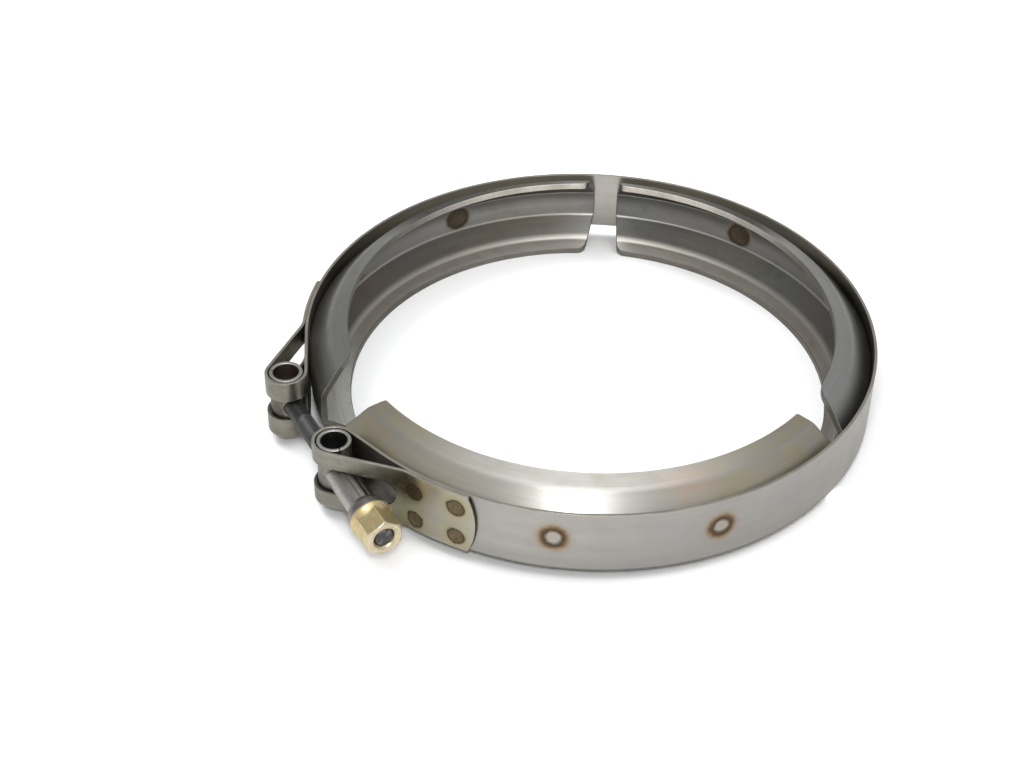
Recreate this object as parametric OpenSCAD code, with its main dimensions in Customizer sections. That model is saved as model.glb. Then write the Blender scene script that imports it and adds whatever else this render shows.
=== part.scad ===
// T-bolt V-band coupling clamp: a steel strap in three lengths with a folded loop at
// each end, three V-section retainers inside it, two rolled trunnions, a T-bolt,
// a bearing sleeve, a thrust collar and a flanged lock nut.
// Z is the axis of the ring. The bolt runs along X on the -Y side, its nut towards +X.
// The front pieces lie towards +X and -Y, the right towards +Y, the left towards -X.
// Angles run counterclockwise from +X, except the tab angles, which start at -Y.

/* [Strap] */
// Outer radius of the strap
strap_r = 95.4; // [93:0.2:98]
// Width of the strap
strap_w = 22.2; // [20:0.2:24]
// Thickness of the strap
strap_t = 1.0; // [0.8:0.1:1.2]
// Angle of the flex gap between the front and right retainers
flex_front_a = 26.7; // [26.2:0.1:27.2]
// Angle of the flex gap between the right and left retainers
flex_back_a = 146.05; // [145:0.1:147]

/* [Retainers] */
// Sheet thickness of the V retainers
retainer_t = 2.2; // [1.8:0.1:2.4]
// Inner radius of the retainer lips
lip_r = 81.0; // [80:0.25:82.5]
// Half height of the flat web on its inner face
web_h = 4.8; // [4:0.2:6]
// Radius at which the 45 degree shoulder meets the lip
knee_r = 85.4; // [84.8:0.2:86.4]
// Angle of the lip from the plane of the ring
lip_a = 20; // [15:1:24]
// Angle by which each lip stops short of the web at a retainer's end
end_back = 3.8; // [2:0.2:5]
// Start and end angle of the front retainer's web
front_span = [-86.3, 25.1]; // [-90:0.1:270]
// Start and end angle of the right retainer's web
right_span = [28.3, 143.6]; // [-90:0.1:270]
// Start and end angle of the left retainer's web
left_span = [148.5, 263.5]; // [-90:0.1:270]

/* [Closure] */
// Distance of the bolt line from the axis of the ring
bolt_y = 100.9; // [100.4:0.1:102]
// Distance of the head trunnion's axis from the plane X = 0
head_x = 22.0; // [21:0.5:24]
// Distance of the nut trunnion's axis from the plane X = 0
nut_x = 16.4; // [15:0.2:18]
// Outer radius of the trunnions
trunnion_r = 5.85; // [5.6:0.05:6]
// Bore radius of the trunnions
trunnion_bore = 4.2; // [3.8:0.05:4.4]
// Radial clearance between a trunnion and its loop
trunnion_gap = 0.08; // [0.05:0.01:0.1]
// Half height of the slot in the nut side's loop, which the sleeve passes
slot_nut_h = 5.0; // [4.9:0.1:5.4]
// Half height of the slot in the head side's loop, which only the bolt passes
slot_head_h = 3.8; // [3.6:0.1:4.4]
// Angle from -Y towards +X of the end of the nut side's folded tab
tab_nut_a = 40.5; // [38:0.5:44]
// Angle from -Y towards -X of the end of the head side's folded tab
tab_head_a = 43.6; // [40:0.4:46]

/* [Fasteners] */
// Radius of the bolt thread, 1/4-28
bolt_r = 3.175; // [3.0:0.025:3.175]
// Length of the bolt beyond the nut trunnion's axis
bolt_out = 36.3; // [34:0.1:37]
// Outer radius of the bearing sleeve
sleeve_r = 4.7; // [4.5:0.05:4.8]
// Bore radius of the sleeve and collar
sleeve_bore = 3.45; // [3.4:0.05:3.6]
// Distance from the nut trunnion's axis to the collar
collar_x = 21.5; // [20.5:0.5:22]
// Length of the collar
collar_l = 4.6; // [3:0.2:5]
// Width across the flats of the nut
nut_flats = 11.11; // [10:0.01:12]
// Height of the nut, flange included
nut_l = 10.7; // [9:0.1:11]

/* [Hidden] */
$fn = 96;
strap_ri = strap_r - strap_t;
cut_over = 1;              // how far cutters run past a face
strap_steel = [0.66, 0.65, 0.63];
retainer_steel = [0.50, 0.49, 0.46];
trunnion_steel = [0.42, 0.40, 0.38];

// ---------- shared geometry ----------
function direction(a) = [cos(a), sin(a)];
function angle_of(v) = atan2(v[1], v[0]);
function arc_points(centre, r, start_a, end_a, steps, first = 0) =
    [for (i = [first:steps]) centre + r*direction(start_a + (end_a - start_a)*i/steps)];
function reversed(points) = [for (i = [len(points) - 1:-1:0]) points[i]];

// turns the children's Z onto the bolt line, starting at x
module on_bolt(x) translate([x, -bolt_y, 0]) rotate([0, 90, 0]) children();

module sector_ring(ri, t, start_a, sweep_a, h)
    rotate([0, 0, start_a]) rotate_extrude(angle = sweep_a, $fn = 180)
        translate([ri, -h/2]) square([t, h]);

// ---------- strap ----------
// A strap end follows the ring, leaves it on a tangent, wraps the trunnion in a loop,
// and comes back as an outer leaf that bends onto the ring as a tab.
// Both ends are drawn on the +X side; all their angles run from +X.
flex_half_gap = 0.07;
flex_half_a = flex_half_gap/strap_r*180/PI;
loop_ro = trunnion_r + trunnion_gap + strap_t;
leaf_bend = 9;             // radius of the bend between leaf and tab
leaf_contact = 15.8;       // angle from the trunnion to where the tab meets the ring
tab_lift = 0.05;           // clearance between tab and strap
tab_ro = strap_r + tab_lift + strap_t;
ring_step = 1.5;           // largest angle between points on the ring and tab
tab_round_r = 20.3;        // radius of the tab's rounded end
slot_offset_a = 10.2;      // angle from the trunnion to the slot's axis
slot_r = 96.2;             // distance of the slot's floor from the ring axis
slot_l = 34;               // from the slot's round end to its cutter's square end
slot_depth = 26;
wedge_inset = 0.4;         // how much lower the wedge is than the slot, each side
wedge_polar = [[12, 135], [16, 180], [16, 235]];  // radius and angle about the trunnion
wedge_slot_r = 12;         // radius of the wedge's corner in the slot's direction

function bolt_point(x) = [x, -bolt_y];

// one face of a strap end; depth is 0 on the ring's inner face, strap_t on its outer face
function strap_face(depth, x, start_a, tab_a) = let(
    trunnion = bolt_point(x),
    bolt_a = angle_of(trunnion),
    reach = strap_ri + loop_ro,
    tangent_a = bolt_a + atan2(sqrt(pow(norm(trunnion), 2) - pow(reach, 2)), reach),
    contact_a = bolt_a + leaf_contact,
    bend_centre = (tab_ro + leaf_bend)*direction(contact_a),
    to_bend = bend_centre - trunnion,
    // direction of the leaf's normal, shared by the loop and the bend
    leaf_a = angle_of(to_bend) - acos((loop_ro + leaf_bend)/norm(to_bend)),
    ring_steps = ceil((start_a - tangent_a)/ring_step),
    tab_steps = ceil((tab_a - contact_a)/ring_step)
) concat(
    arc_points([0, 0], strap_ri + depth, start_a, tangent_a, ring_steps),
    arc_points(trunnion, loop_ro - depth, tangent_a + 180, leaf_a + 360, 30),
    arc_points(bend_centre, leaf_bend + depth, leaf_a + 180, contact_a + 180, 6),
    arc_points([0, 0], tab_ro - depth, contact_a, tab_a, tab_steps, first = 1));

module strap_end(x, start_a, tab_a, slot_h) difference() {
    translate([0, 0, -strap_w/2]) linear_extrude(height = strap_w)
        polygon(concat(strap_face(0, x, start_a, tab_a),
                       reversed(strap_face(strap_t, x, start_a, tab_a))));
    slot_cut(x, slot_h);
    tab_end_cut(tab_a);
}

// rounds the end of the tab without touching the strap beneath
module tab_end_cut(tab_a) difference() {
    sector_ring(strap_r + tab_lift/2, 3, tab_a - 4, 6, strap_w + 2*cut_over);
    rotate([0, 0, tab_a]) translate([80, -tab_round_r, 0]) rotate([0, 90, 0])
        cylinder(r = tab_round_r, h = 30, $fn = 120);
}

// bolt slot: a round-ended radial prism clear of the strap beneath, and a wedge
// that carries the slot round the loop to where the bolt enters
module slot_cut(x, slot_h) {
    trunnion = bolt_point(x);
    slot_a = angle_of(trunnion) + slot_offset_a;
    rotate([0, 0, slot_a]) translate([slot_r, 0, 0]) rotate([90, 0, 90])
        linear_extrude(height = slot_depth)
            polygon(concat([[-slot_l, slot_h], [-slot_l, -slot_h]],
                           arc_points([0, 0], slot_h, -90, 90, 18)));
    translate([0, 0, wedge_inset - slot_h]) linear_extrude(height = 2*(slot_h - wedge_inset))
        polygon(concat([trunnion],
                       [for (corner = wedge_polar) trunnion + corner[0]*direction(corner[1])],
                       [trunnion + wedge_slot_r*direction(slot_a)]));
}

module band_front() color(strap_steel)
    strap_end(nut_x, flex_front_a - flex_half_a, tab_nut_a - 90, slot_nut_h);

module band_right() color(strap_steel)
    sector_ring(strap_ri, strap_t, flex_front_a + flex_half_a,
                flex_back_a - flex_front_a - 2*flex_half_a, strap_w);

module band_left() color(strap_steel) mirror([1, 0, 0])
    strap_end(head_x, 180 - flex_back_a - flex_half_a, tab_head_a - 90, slot_head_h);

// ---------- V retainers ----------
// The section is drawn as radius and height: web, 45 degree shoulder, knee, lip.
shoulder_a = 45;
web_bend = 2.0;            // inner radius of the bend from web to shoulder
knee_bend = 3.0;           // inner radius of the bend from shoulder to lip
weld_gap = 0.02;           // clearance between web and strap
lip_trim = 0.14;           // height taken off the lip's outer corner
web_ri = strap_ri - retainer_t - weld_gap;
knee_z = web_h + (web_ri - knee_r)/tan(shoulder_a);
lip_normal_a = 90 - lip_a;
web_centre = [web_ri - web_bend, web_h - web_bend*tan(shoulder_a/2)];
knee_centre = [knee_r, knee_z] - knee_bend*(direction(shoulder_a) + direction(lip_normal_a))
    /(1 + direction(shoulder_a)*direction(lip_normal_a));
lip_z = knee_z + (knee_r - lip_r)*tan(lip_a);
lip_top = lip_z + retainer_t/cos(lip_a) - lip_trim;
upper_half = concat(
    arc_points(web_centre, web_bend, 0, shoulder_a, 6),
    arc_points(knee_centre, knee_bend, shoulder_a, lip_normal_a, 5),
    [[lip_r, lip_z], [lip_r, lip_top], [lip_r + lip_trim/tan(lip_a), lip_top]],
    arc_points(knee_centre, knee_bend + retainer_t, lip_normal_a, shoulder_a, 5),
    arc_points(web_centre, web_bend + retainer_t, shoulder_a, 0, 6));
lower_half = [for (point = reversed(upper_half)) [point[0], -point[1]]];

end_outer_r = 97;          // radii between which the slanted end line is drawn
end_inner_r = 80.5;
end_back_scale = 1.03;     // stretches end_back to reach end_inner_r
end_arc_share = 0.84;      // how far the rounding turns from end line to lip circle
corner_round_r = 1.2;
left_corner_round_r = 5;   // on the left retainer's end nearest the bolt

// cuts both lips' corners off at web end angle a with a slanted line and a rounding;
// side = 1 cuts towards rising angles, -1 towards falling ones
module end_cut(a, side, round_r) {
    outer = end_outer_r*direction(a);
    inner = end_inner_r*direction(a + side*end_back*end_back_scale);
    along = (outer - inner)/norm(outer - inner);
    inward = side*[-along[1], along[0]];
    // rounding's centre: round_r from the end line and from the lip circle
    offset_point = inner + round_r*inward;
    foot = offset_point - (offset_point*along)*along;
    centre = foot + sqrt(pow(lip_r + round_r, 2) - pow(norm(foot), 2))*along;
    radial = centre/norm(centre);
    normals = [for (i = [0:5])
        let(share = end_arc_share*i/5, blend = -(1 - share)*inward - share*radial)
        blend/norm(blend)];
    last = centre + round_r*normals[5];
    tangent = side*[-normals[5][1], normals[5][0]];
    beyond = direction(a - side*3);
    translate([0, 0, -20]) linear_extrude(height = 40)
        polygon(concat([outer],
                       [for (normal = normals) centre + round_r*normal],
                       [last + 0.55*round_r*tangent - radial, 76*beyond, 98.5*beyond]));
}

module retainer(span, end_round_r = corner_round_r) color(retainer_steel) difference() {
    rotate([0, 0, span[0]]) rotate_extrude(angle = span[1] - span[0], $fn = 240)
        polygon(concat(upper_half, lower_half));
    end_cut(span[0], 1, corner_round_r);
    end_cut(span[1], -1, end_round_r);
}

module retainer_front() retainer(front_span);
module retainer_right() retainer(right_span);
module retainer_left() retainer(left_span, left_corner_round_r);

// ---------- trunnions ----------
head_seam_a = 234;
nut_seam_a = 357;
tube_seam_w = 0.4;
head_bolt_gap = 0.15;      // clearance round the bolt in the head trunnion

// rolled tube with a butt seam
module tube(x, seam_a) translate([x, -bolt_y, -strap_w/2]) difference() {
    cylinder(r = trunnion_r, h = strap_w);
    translate([0, 0, -cut_over]) cylinder(r = trunnion_bore, h = strap_w + 2*cut_over);
    rotate([0, 0, seam_a]) translate([0, -tube_seam_w/2, -cut_over])
        cube([trunnion_r + cut_over, tube_seam_w, strap_w + 2*cut_over]);
}

// drilled through the +X wall only
module trunnion_head() color(trunnion_steel) difference() {
    tube(-head_x, head_seam_a);
    on_bolt(-head_x) cylinder(r = bolt_r + head_bolt_gap, h = 12);
}

// drilled through both walls
module trunnion_nut() color(trunnion_steel) difference() {
    tube(nut_x, nut_seam_a);
    on_bolt(nut_x - 12) cylinder(r = sleeve_bore, h = 24);
}

// ---------- T-bolt: barrel head inside the head trunnion, plain shank ----------
bolt_head_l = 9.2;
bolt_head_gap = 0.05;
bolt_tip_l = 0.8;          // length of the tapered tip
bolt_tip_in = 0.7;         // radius lost over the tip
shank_l = head_x + nut_x + bolt_out - bolt_tip_l;

module t_bolt() color([0.25, 0.25, 0.26]) {
    translate([-head_x, -bolt_y, -bolt_head_l/2])
        cylinder(r = trunnion_bore - bolt_head_gap, h = bolt_head_l);
    on_bolt(-head_x) {
        cylinder(r = bolt_r, h = shank_l);
        translate([0, 0, shank_l])
            cylinder(r1 = bolt_r, r2 = bolt_r - bolt_tip_in, h = bolt_tip_l);
    }
}

// ---------- bearing sleeve: rolled, open seam, saddled on the nut trunnion ----------
sleeve_seam_a = 72;        // about the bolt line, from +Y towards +Z
sleeve_seam_w = 1.2;
saddle_gap = 0.03;
sleeve_end_gap = 0.03;     // between sleeve and collar

module bearing_sleeve() color([0.50, 0.50, 0.49]) difference() {
    on_bolt(nut_x) cylinder(r = sleeve_r, h = collar_x - sleeve_end_gap);
    on_bolt(nut_x - cut_over) cylinder(r = sleeve_bore, h = collar_x + 2*cut_over);
    translate([nut_x, -bolt_y, -12]) cylinder(r = trunnion_r + saddle_gap, h = 24);
    translate([nut_x, -bolt_y, 0]) rotate([sleeve_seam_a, 0, 0])
        translate([-cut_over, 0, -sleeve_seam_w/2])
            cube([collar_x + 4*cut_over, sleeve_r + 2*cut_over, sleeve_seam_w]);
}

// ---------- thrust collar between the sleeve and the nut ----------
collar_r = 6.1;
collar_chamfer = 0.3;

module thrust_collar() color([0.60, 0.58, 0.60]) on_bolt(nut_x + collar_x)
    rotate_extrude(angle = 360) polygon([
        [sleeve_bore, 0], [sleeve_r + 0.1, 0], [sleeve_r + 0.9, 0.5], [collar_r, 2.0],
        [collar_r, collar_l - collar_chamfer], [collar_r - collar_chamfer, collar_l],
        [sleeve_bore, collar_l]]);

// ---------- flanged lock nut ----------
nut_gap = 0.04;            // between collar and nut
nut_turn = -3;             // rotation of the hexagon about the bolt
nut_bore = bolt_r + 0.065;
sink_over = 0.1;           // how far a countersink's cone passes the nut's face
nut_sink = 0.8;            // depth of the countersink's cone at the outer end
flange_sink = 0.6;         // the same at the flange
// radius and height from the flange's face
flange_outline = [[0, 0], [6.6, 0], [6.9, 0.35], [6.9, 1.0], [6.2, 2.1], [5.5, 3.2], [0, 3.2]];
crown_outline = [[0, 0], [8, 0], [8, nut_l - 1.6], [5.35, nut_l], [0, nut_l]];

module flange_nut() color([0.80, 0.72, 0.45])
on_bolt(nut_x + collar_x + collar_l + nut_gap) difference() {
    union() {
        rotate_extrude(angle = 360) polygon(flange_outline);
        intersection() {
            rotate([0, 0, nut_turn]) cylinder(r = nut_flats/2/cos(30), h = nut_l, $fn = 6);
            rotate_extrude(angle = 360) polygon(crown_outline);
        }
    }
    translate([0, 0, -cut_over]) cylinder(r = nut_bore, h = nut_l + 2*cut_over);
    translate([0, 0, nut_l + sink_over - nut_sink])
        cylinder(r1 = nut_bore, r2 = nut_bore + nut_sink, h = nut_sink);
    translate([0, 0, -sink_over])
        cylinder(r1 = nut_bore + flange_sink, r2 = nut_bore, h = flange_sink);
}

band_front();
band_right();
band_left();
retainer_front();
retainer_right();
retainer_left();
trunnion_head();
trunnion_nut();
t_bolt();
bearing_sleeve();
thrust_collar();
flange_nut();
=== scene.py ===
"""A V-band clamp. Its ring lies flat round the Z axis, centred on the origin. Three V-section
retainers sit inside two straps. Each strap folds back into a loop round an upright trunnion, the
nut's on +X and the head's on -X. A T-bolt joins the trunnions, along X at y = -BOLT_Y.
Lengths are in mm and plan angles in degrees from +X, unless said otherwise."""

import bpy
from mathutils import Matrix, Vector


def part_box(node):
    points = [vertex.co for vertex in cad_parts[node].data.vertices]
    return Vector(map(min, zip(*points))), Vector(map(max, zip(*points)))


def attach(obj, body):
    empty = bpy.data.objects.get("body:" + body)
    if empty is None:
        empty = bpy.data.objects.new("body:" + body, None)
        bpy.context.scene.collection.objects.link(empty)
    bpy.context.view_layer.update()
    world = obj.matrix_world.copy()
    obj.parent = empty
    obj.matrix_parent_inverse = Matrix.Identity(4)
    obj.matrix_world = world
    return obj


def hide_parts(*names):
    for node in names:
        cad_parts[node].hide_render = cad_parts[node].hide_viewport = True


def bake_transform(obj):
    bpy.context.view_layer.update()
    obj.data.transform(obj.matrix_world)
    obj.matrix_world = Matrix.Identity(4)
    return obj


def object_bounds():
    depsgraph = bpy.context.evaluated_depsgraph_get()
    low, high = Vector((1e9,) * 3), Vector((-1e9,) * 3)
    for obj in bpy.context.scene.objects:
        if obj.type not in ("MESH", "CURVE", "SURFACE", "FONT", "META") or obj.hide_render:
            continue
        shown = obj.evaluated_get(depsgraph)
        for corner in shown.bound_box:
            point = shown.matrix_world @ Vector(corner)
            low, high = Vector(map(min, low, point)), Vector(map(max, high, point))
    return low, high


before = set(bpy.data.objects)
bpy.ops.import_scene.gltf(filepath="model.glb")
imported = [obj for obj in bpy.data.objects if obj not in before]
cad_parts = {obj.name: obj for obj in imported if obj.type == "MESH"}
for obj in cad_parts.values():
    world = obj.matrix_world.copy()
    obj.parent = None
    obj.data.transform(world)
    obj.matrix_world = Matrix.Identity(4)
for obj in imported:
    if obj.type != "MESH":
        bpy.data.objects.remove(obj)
CAD_BOX = [[float(c) for c in v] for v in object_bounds()]

import math

import bmesh
import bpy
from mathutils import Matrix, Vector
from mathutils.geometry import delaunay_2d_cdt

MM = 0.001
PI = math.pi


# ------------------------------------------------------------------ sizes taken from the frame
def box_mm(node):
    low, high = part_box(node)
    return [c / MM for c in low], [c / MM for c in high]


low, high = box_mm("trunnion_nut")
NUT_X = (low[0] + high[0]) / 2
BOLT_Y = -(low[1] + high[1]) / 2
TRUNNION_R = (high[0] - low[0]) / 2
WIDTH = high[2] - low[2]            # of the straps and trunnions, along Z
low, high = box_mm("trunnion_head")
HEAD_X = -(low[0] + high[0]) / 2    # the head's trunnion stands at x = -HEAD_X
STRAP_R = box_mm("band_right")[1][1]
low, high = box_mm("flange_nut")
NUT_X0, NUT_X1 = low[0], high[0]
low, high = box_mm("thrust_collar")
COLLAR_X0, COLLAR_X1 = low[0], high[0]
BOLT_X1 = box_mm("t_bolt")[1][0]
SLEEVE_X1 = box_mm("bearing_sleeve")[1][0]

# ------------------------------------------------------------------ driving sizes
HALF = WIDTH / 2
STRAP_T = 1.0
STRAP_RI = STRAP_R - STRAP_T
RING_R = 94.9                       # reference radius for places along the ring
LOOP_RI = TRUNNION_R + 0.08
LOOP_RO = LOOP_RI + STRAP_T
LEAF_BEND = 9.0                     # inner radius of the bend between outer leaf and tab
LEAF_CONTACT = 15.8                 # from the trunnion to where the tab meets the ring, degrees
TAB_R = STRAP_R + 0.05
TAB_NUT_END, TAB_HEAD_END = 40.5, 43.6
TAB_SHORT = 2.1                     # the nut side's tab is cut back by this
STRAP_JOINT = 86.0                  # plan angle where the two straps meet
LAP = math.degrees(0.5 / STRAP_R)   # the straps overlap by this each, so no groove shows
SLOT_NUT_HALF, SLOT_HEAD_HALF = 5.0, 3.8
SLOT_START = 135.0                  # on the loop, degrees
SLOT_REACH = 10.2                   # past the trunnion's bearing, degrees
SLOT_HEAD_MORE = 2.6

TRUNNION_BORE = 4.2
TRUNNION_VISIBLE_R = TRUNNION_R - 0.36
BUSH_BORE = 3.45                    # through the sleeve, the collar and the nut's trunnion

RETAINER_T = 2.2
WEB_RI = STRAP_RI - RETAINER_T - 0.02
WEB_HALF = 4.8
KNEE_R = 85.4
LIP_R = 81.0
LIP_ANGLE = math.radians(20)
SECTION_R = 88.0                    # radius at which the retainers' flat pattern is true
END_R = 94.4                        # the retainers' ends slant inwards from this radius

# welds: (angle, z). On the ring by plan angle, on the tab by bearing from -Y
RING_WELDS = {
    "front": [(-36.5, 1.2), (-5.4, 0.9)],
    "right": [(59.1, 0.4), (112.8, -0.2)],
    "left": [(182.1, 0.4), (213.2, 0.6)],
}
TAB_WELDS = [(26.4, 4.6), (26.5, -6.5), (35.3, 5.2), (35.3, -6.2)]

# retainers: plan angles of the two ends, then for each end
# (lower lip set-back, upper lip set-back in degrees, lower corner radius, upper corner radius)
RETAINERS = {
    "front": ((-86.3, 25.1), (3.9, 3.9, 1.2, 1.2), (1.2, 2.7, 1.2, 1.2)),
    "right": ((28.3, 143.6), (0.6, 3.6, 1.6, 8.0), (1.5, 1.5, 3.4, 3.4)),
    "left": ((148.5, 263.5), (2.4, 2.4, 3.6, 3.6), (3.9, 3.9, 3.0, 8.5)),
}
FRONT_SPAN, RIGHT_SPAN, LEFT_SPAN = (row[0] for row in RETAINERS.values())
GAP_FRONT = (FRONT_SPAN[1] + RIGHT_SPAN[0]) / 2
GAP_BACK = (RIGHT_SPAN[1] + LEFT_SPAN[0]) / 2


# ------------------------------------------------------------------ plane geometry
def rad(degrees):
    return degrees * PI / 180


def direction(degrees):
    return (math.cos(rad(degrees)), math.sin(rad(degrees)))


def heading(vector):
    return math.degrees(math.atan2(vector[1], vector[0]))


def ray(bearing):
    """Direction out from the ring's axis, at a bearing from -Y towards the strap's own side."""
    return (math.sin(rad(bearing)), -math.cos(rad(bearing)))


def unit(vector):
    length = math.sqrt(sum(c * c for c in vector)) or 1.0
    return tuple(c / length for c in vector)


def minus(end, start):
    return tuple(a - b for a, b in zip(end, start))


def step(point, vector, length):
    return (point[0] + length * vector[0], point[1] + length * vector[1])


def steps(start, end, count):
    """Even steps from start, left out, to end."""
    return [start + (end - start) * i / count for i in range(1, count + 1)]


def smoothstep(start, end, x):
    t = min(1.0, max(0.0, (x - start) / (end - start)))
    return t * t * (3 - 2 * t)


def arc_on_ring(plan):
    return rad(plan) * RING_R


def arc_on_section(plan):
    return rad(plan) * SECTION_R


def signed_area(loop):
    return sum(a[0] * b[1] - b[0] * a[1] for a, b in zip(loop, loop[1:] + loop[:1])) / 2


def inside(point, loops):
    """Even-odd test."""
    result = False
    x, y = point
    for loop in loops:
        for (x1, y1), (x0, y0) in zip(loop, loop[-1:] + loop[:-1]):
            if (y1 > y) != (y0 > y) and x < (x0 - x1) * (y - y1) / (y0 - y1) + x1:
                result = not result
    return result


def segment_distance(point, start, end):
    run, offset = minus(end, start), minus(point, start)
    square = run[0] * run[0] + run[1] * run[1]
    t = 0
    if square:
        t = max(0, min(1, (offset[0] * run[0] + offset[1] * run[1]) / square))
    return math.hypot(offset[0] - t * run[0], offset[1] - t * run[1])


def resample(loop, spacing):
    out = []
    for a, b in zip(loop, loop[1:] + loop[:1]):
        length = math.hypot(b[0] - a[0], b[1] - a[1])
        count = max(1, int(math.ceil(length / spacing - 1e-6)))
        for i in range(count):
            out.append((a[0] + (b[0] - a[0]) * i / count, a[1] + (b[1] - a[1]) * i / count))
    return out


def fillet(loop, radii, segments):
    """Rounds the corners of a loop; a radius of 0 leaves its corner as it is."""
    out = []
    for i, (corner, radius) in enumerate(zip(loop, radii)):
        if radius <= 0:
            out.append(corner)
            continue
        back = unit(minus(loop[i - 1], corner))
        ahead = unit(minus(loop[(i + 1) % len(loop)], corner))
        cosine = back[0] * ahead[0] + back[1] * ahead[1]
        half = math.acos(max(-1, min(1, cosine))) / 2
        tangent = radius / math.tan(half)
        bisector = unit((back[0] + ahead[0], back[1] + ahead[1]))
        centre = step(corner, bisector, radius / math.sin(half))
        start, end = (math.atan2(corner[1] + side[1] * tangent - centre[1],
                                 corner[0] + side[0] * tangent - centre[0])
                      for side in (back, ahead))
        turn = end - start
        while turn > PI:
            turn -= 2 * PI
        while turn < -PI:
            turn += 2 * PI
        for j in range(segments + 1):
            angle = start + turn * j / segments
            out.append(step(centre, (math.cos(angle), math.sin(angle)), radius))
    return out


def rounded(profile, radii):
    """Fillets an (r, h) profile."""
    if signed_area(profile) < 0:
        profile, radii = profile[::-1], radii[::-1]
    return fillet(profile, radii, 5)


# ------------------------------------------------------------------ meshes
def make(name, verts, faces, uvs=None, normals=None, slots=None, mats=()):
    mesh = bpy.data.meshes.new(name)
    mesh.from_pydata([(v[0] * MM, v[1] * MM, v[2] * MM) for v in verts], [], faces)
    for mat in mats:
        mesh.materials.append(mat)
    if uvs is not None:
        layer = mesh.uv_layers.new(name="UVMap")
        for corner in mesh.loops:
            uv = uvs[corner.vertex_index]
            layer.data[corner.index].uv = (uv[0] * MM, uv[1] * MM)
    mesh.polygons.foreach_set("use_smooth", [True] * len(mesh.polygons))
    if slots is not None:
        mesh.polygons.foreach_set("material_index", slots)
    mesh.validate()
    mesh.update()
    if normals is not None:
        mesh.normals_split_custom_set_from_vertices(normals)
    obj = bpy.data.objects.new(name, mesh)
    bpy.context.scene.collection.objects.link(obj)
    return obj


def fix_normals(obj):
    bm = bmesh.new()
    bm.from_mesh(obj.data)
    bmesh.ops.remove_doubles(bm, verts=bm.verts, dist=1e-7)
    bmesh.ops.dissolve_degenerate(bm, edges=bm.edges, dist=1e-8)
    bmesh.ops.recalc_face_normals(bm, faces=bm.faces)
    bm.to_mesh(obj.data)
    bm.free()
    obj.data.update()
    return obj


def apply_modifiers(obj):
    bpy.context.view_layer.update()
    graph = bpy.context.evaluated_depsgraph_get()
    mesh = bpy.data.meshes.new_from_object(obj.evaluated_get(graph))
    obj.modifiers.clear()
    old = obj.data
    obj.data = mesh
    mesh.name = obj.name
    bpy.data.meshes.remove(old)


def boolean(obj, cutter, operation="DIFFERENCE"):
    modifier = obj.modifiers.new("b", "BOOLEAN")
    modifier.operation = operation
    modifier.solver = "EXACT"
    modifier.object = cutter
    apply_modifiers(obj)
    mesh = cutter.data
    bpy.data.objects.remove(cutter)
    bpy.data.meshes.remove(mesh)


def sharpen(obj, degrees):
    mesh = obj.data
    mesh.polygons.foreach_set("use_smooth", [True] * len(mesh.polygons))
    mesh.set_sharp_from_angle(angle=math.radians(degrees))
    mesh.update()
    return obj


def about_axis(origin, axis, radius, height, angle):
    """The point at (radius, height, angle) about an axis along 'x' or 'z' through origin."""
    across, up = radius * math.cos(angle), radius * math.sin(angle)
    if axis == "z":
        return (origin[0] + across, origin[1] + up, origin[2] + height)
    return (origin[0] + height, origin[1] + across, origin[2] + up)


def revolve(name, profile, origin, axis, segments, mats=()):
    """Turns a closed loop of (r, h) about the axis."""
    verts, faces = [], []
    count = len(profile)
    for j in range(segments):
        verts += [about_axis(origin, axis, r, h, 2 * PI * j / segments) for r, h in profile]
    for j in range(segments):
        here, ahead = j * count, (j + 1) % segments * count
        for i in range(count):
            k = (i + 1) % count
            faces.append((here + i, here + k, ahead + k, ahead + i))
    return fix_normals(make(name, verts, faces, mats=mats))


def cylinder_cutter(origin, axis, radius, height, segments=64):
    verts = [about_axis(origin, axis, radius, end * height, 2 * PI * j / segments)
             for end in (0, 1) for j in range(segments)]
    faces = [(j, (j + 1) % segments, segments + (j + 1) % segments, segments + j)
             for j in range(segments)]
    faces.append(tuple(range(segments))[::-1])
    faces.append(tuple(range(segments, 2 * segments)))
    return fix_normals(make("cutter", verts, faces))


def box_cutter(corners):
    """corners: eight, the last of their three coordinates changing fastest"""
    faces = [(0, 1, 3, 2), (4, 6, 7, 5), (0, 4, 5, 1), (2, 3, 7, 6), (0, 2, 6, 4), (1, 5, 7, 3)]
    return fix_normals(make("cutter", corners, faces))


def bolt_axis_rings(rings, closed=False):
    """Verts and faces through rings of (x, r) points about the bolt's axis."""
    sides = len(rings[0])
    verts, faces = [], []
    for ring in rings:
        for j, (x, r) in enumerate(ring):
            verts.append(about_axis((0, -BOLT_Y, 0), "x", r, x, 2 * PI * j / sides))
    for i in range(len(rings) if closed else len(rings) - 1):
        here, ahead = i * sides, (i + 1) % len(rings) * sides
        for j in range(sides):
            k = (j + 1) % sides
            faces.append((here + j, here + k, ahead + k, ahead + j))
    return verts, faces


# ------------------------------------------------------------------ formed sheet
def inset_loop(loop, depth):
    """The loop moved inwards, and its (outward x, outward y, mitre factor) at each point."""
    inset, outward = [], []
    for before, point, after in zip(loop[-1:] + loop[:-1], loop, loop[1:] + loop[:1]):
        run_in, run_out = unit(minus(point, before)), unit(minus(after, point))
        normal = (run_in[1], -run_in[0])
        out = unit((normal[0] + run_out[1], normal[1] - run_out[0]))
        mitre = 1 / max(0.35, out[0] * normal[0] + out[1] * normal[1])
        inset.append((point[0] - out[0] * depth * mitre, point[1] - out[1] * depth * mitre))
        outward.append((out[0], out[1], mitre))
    return inset, outward


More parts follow.
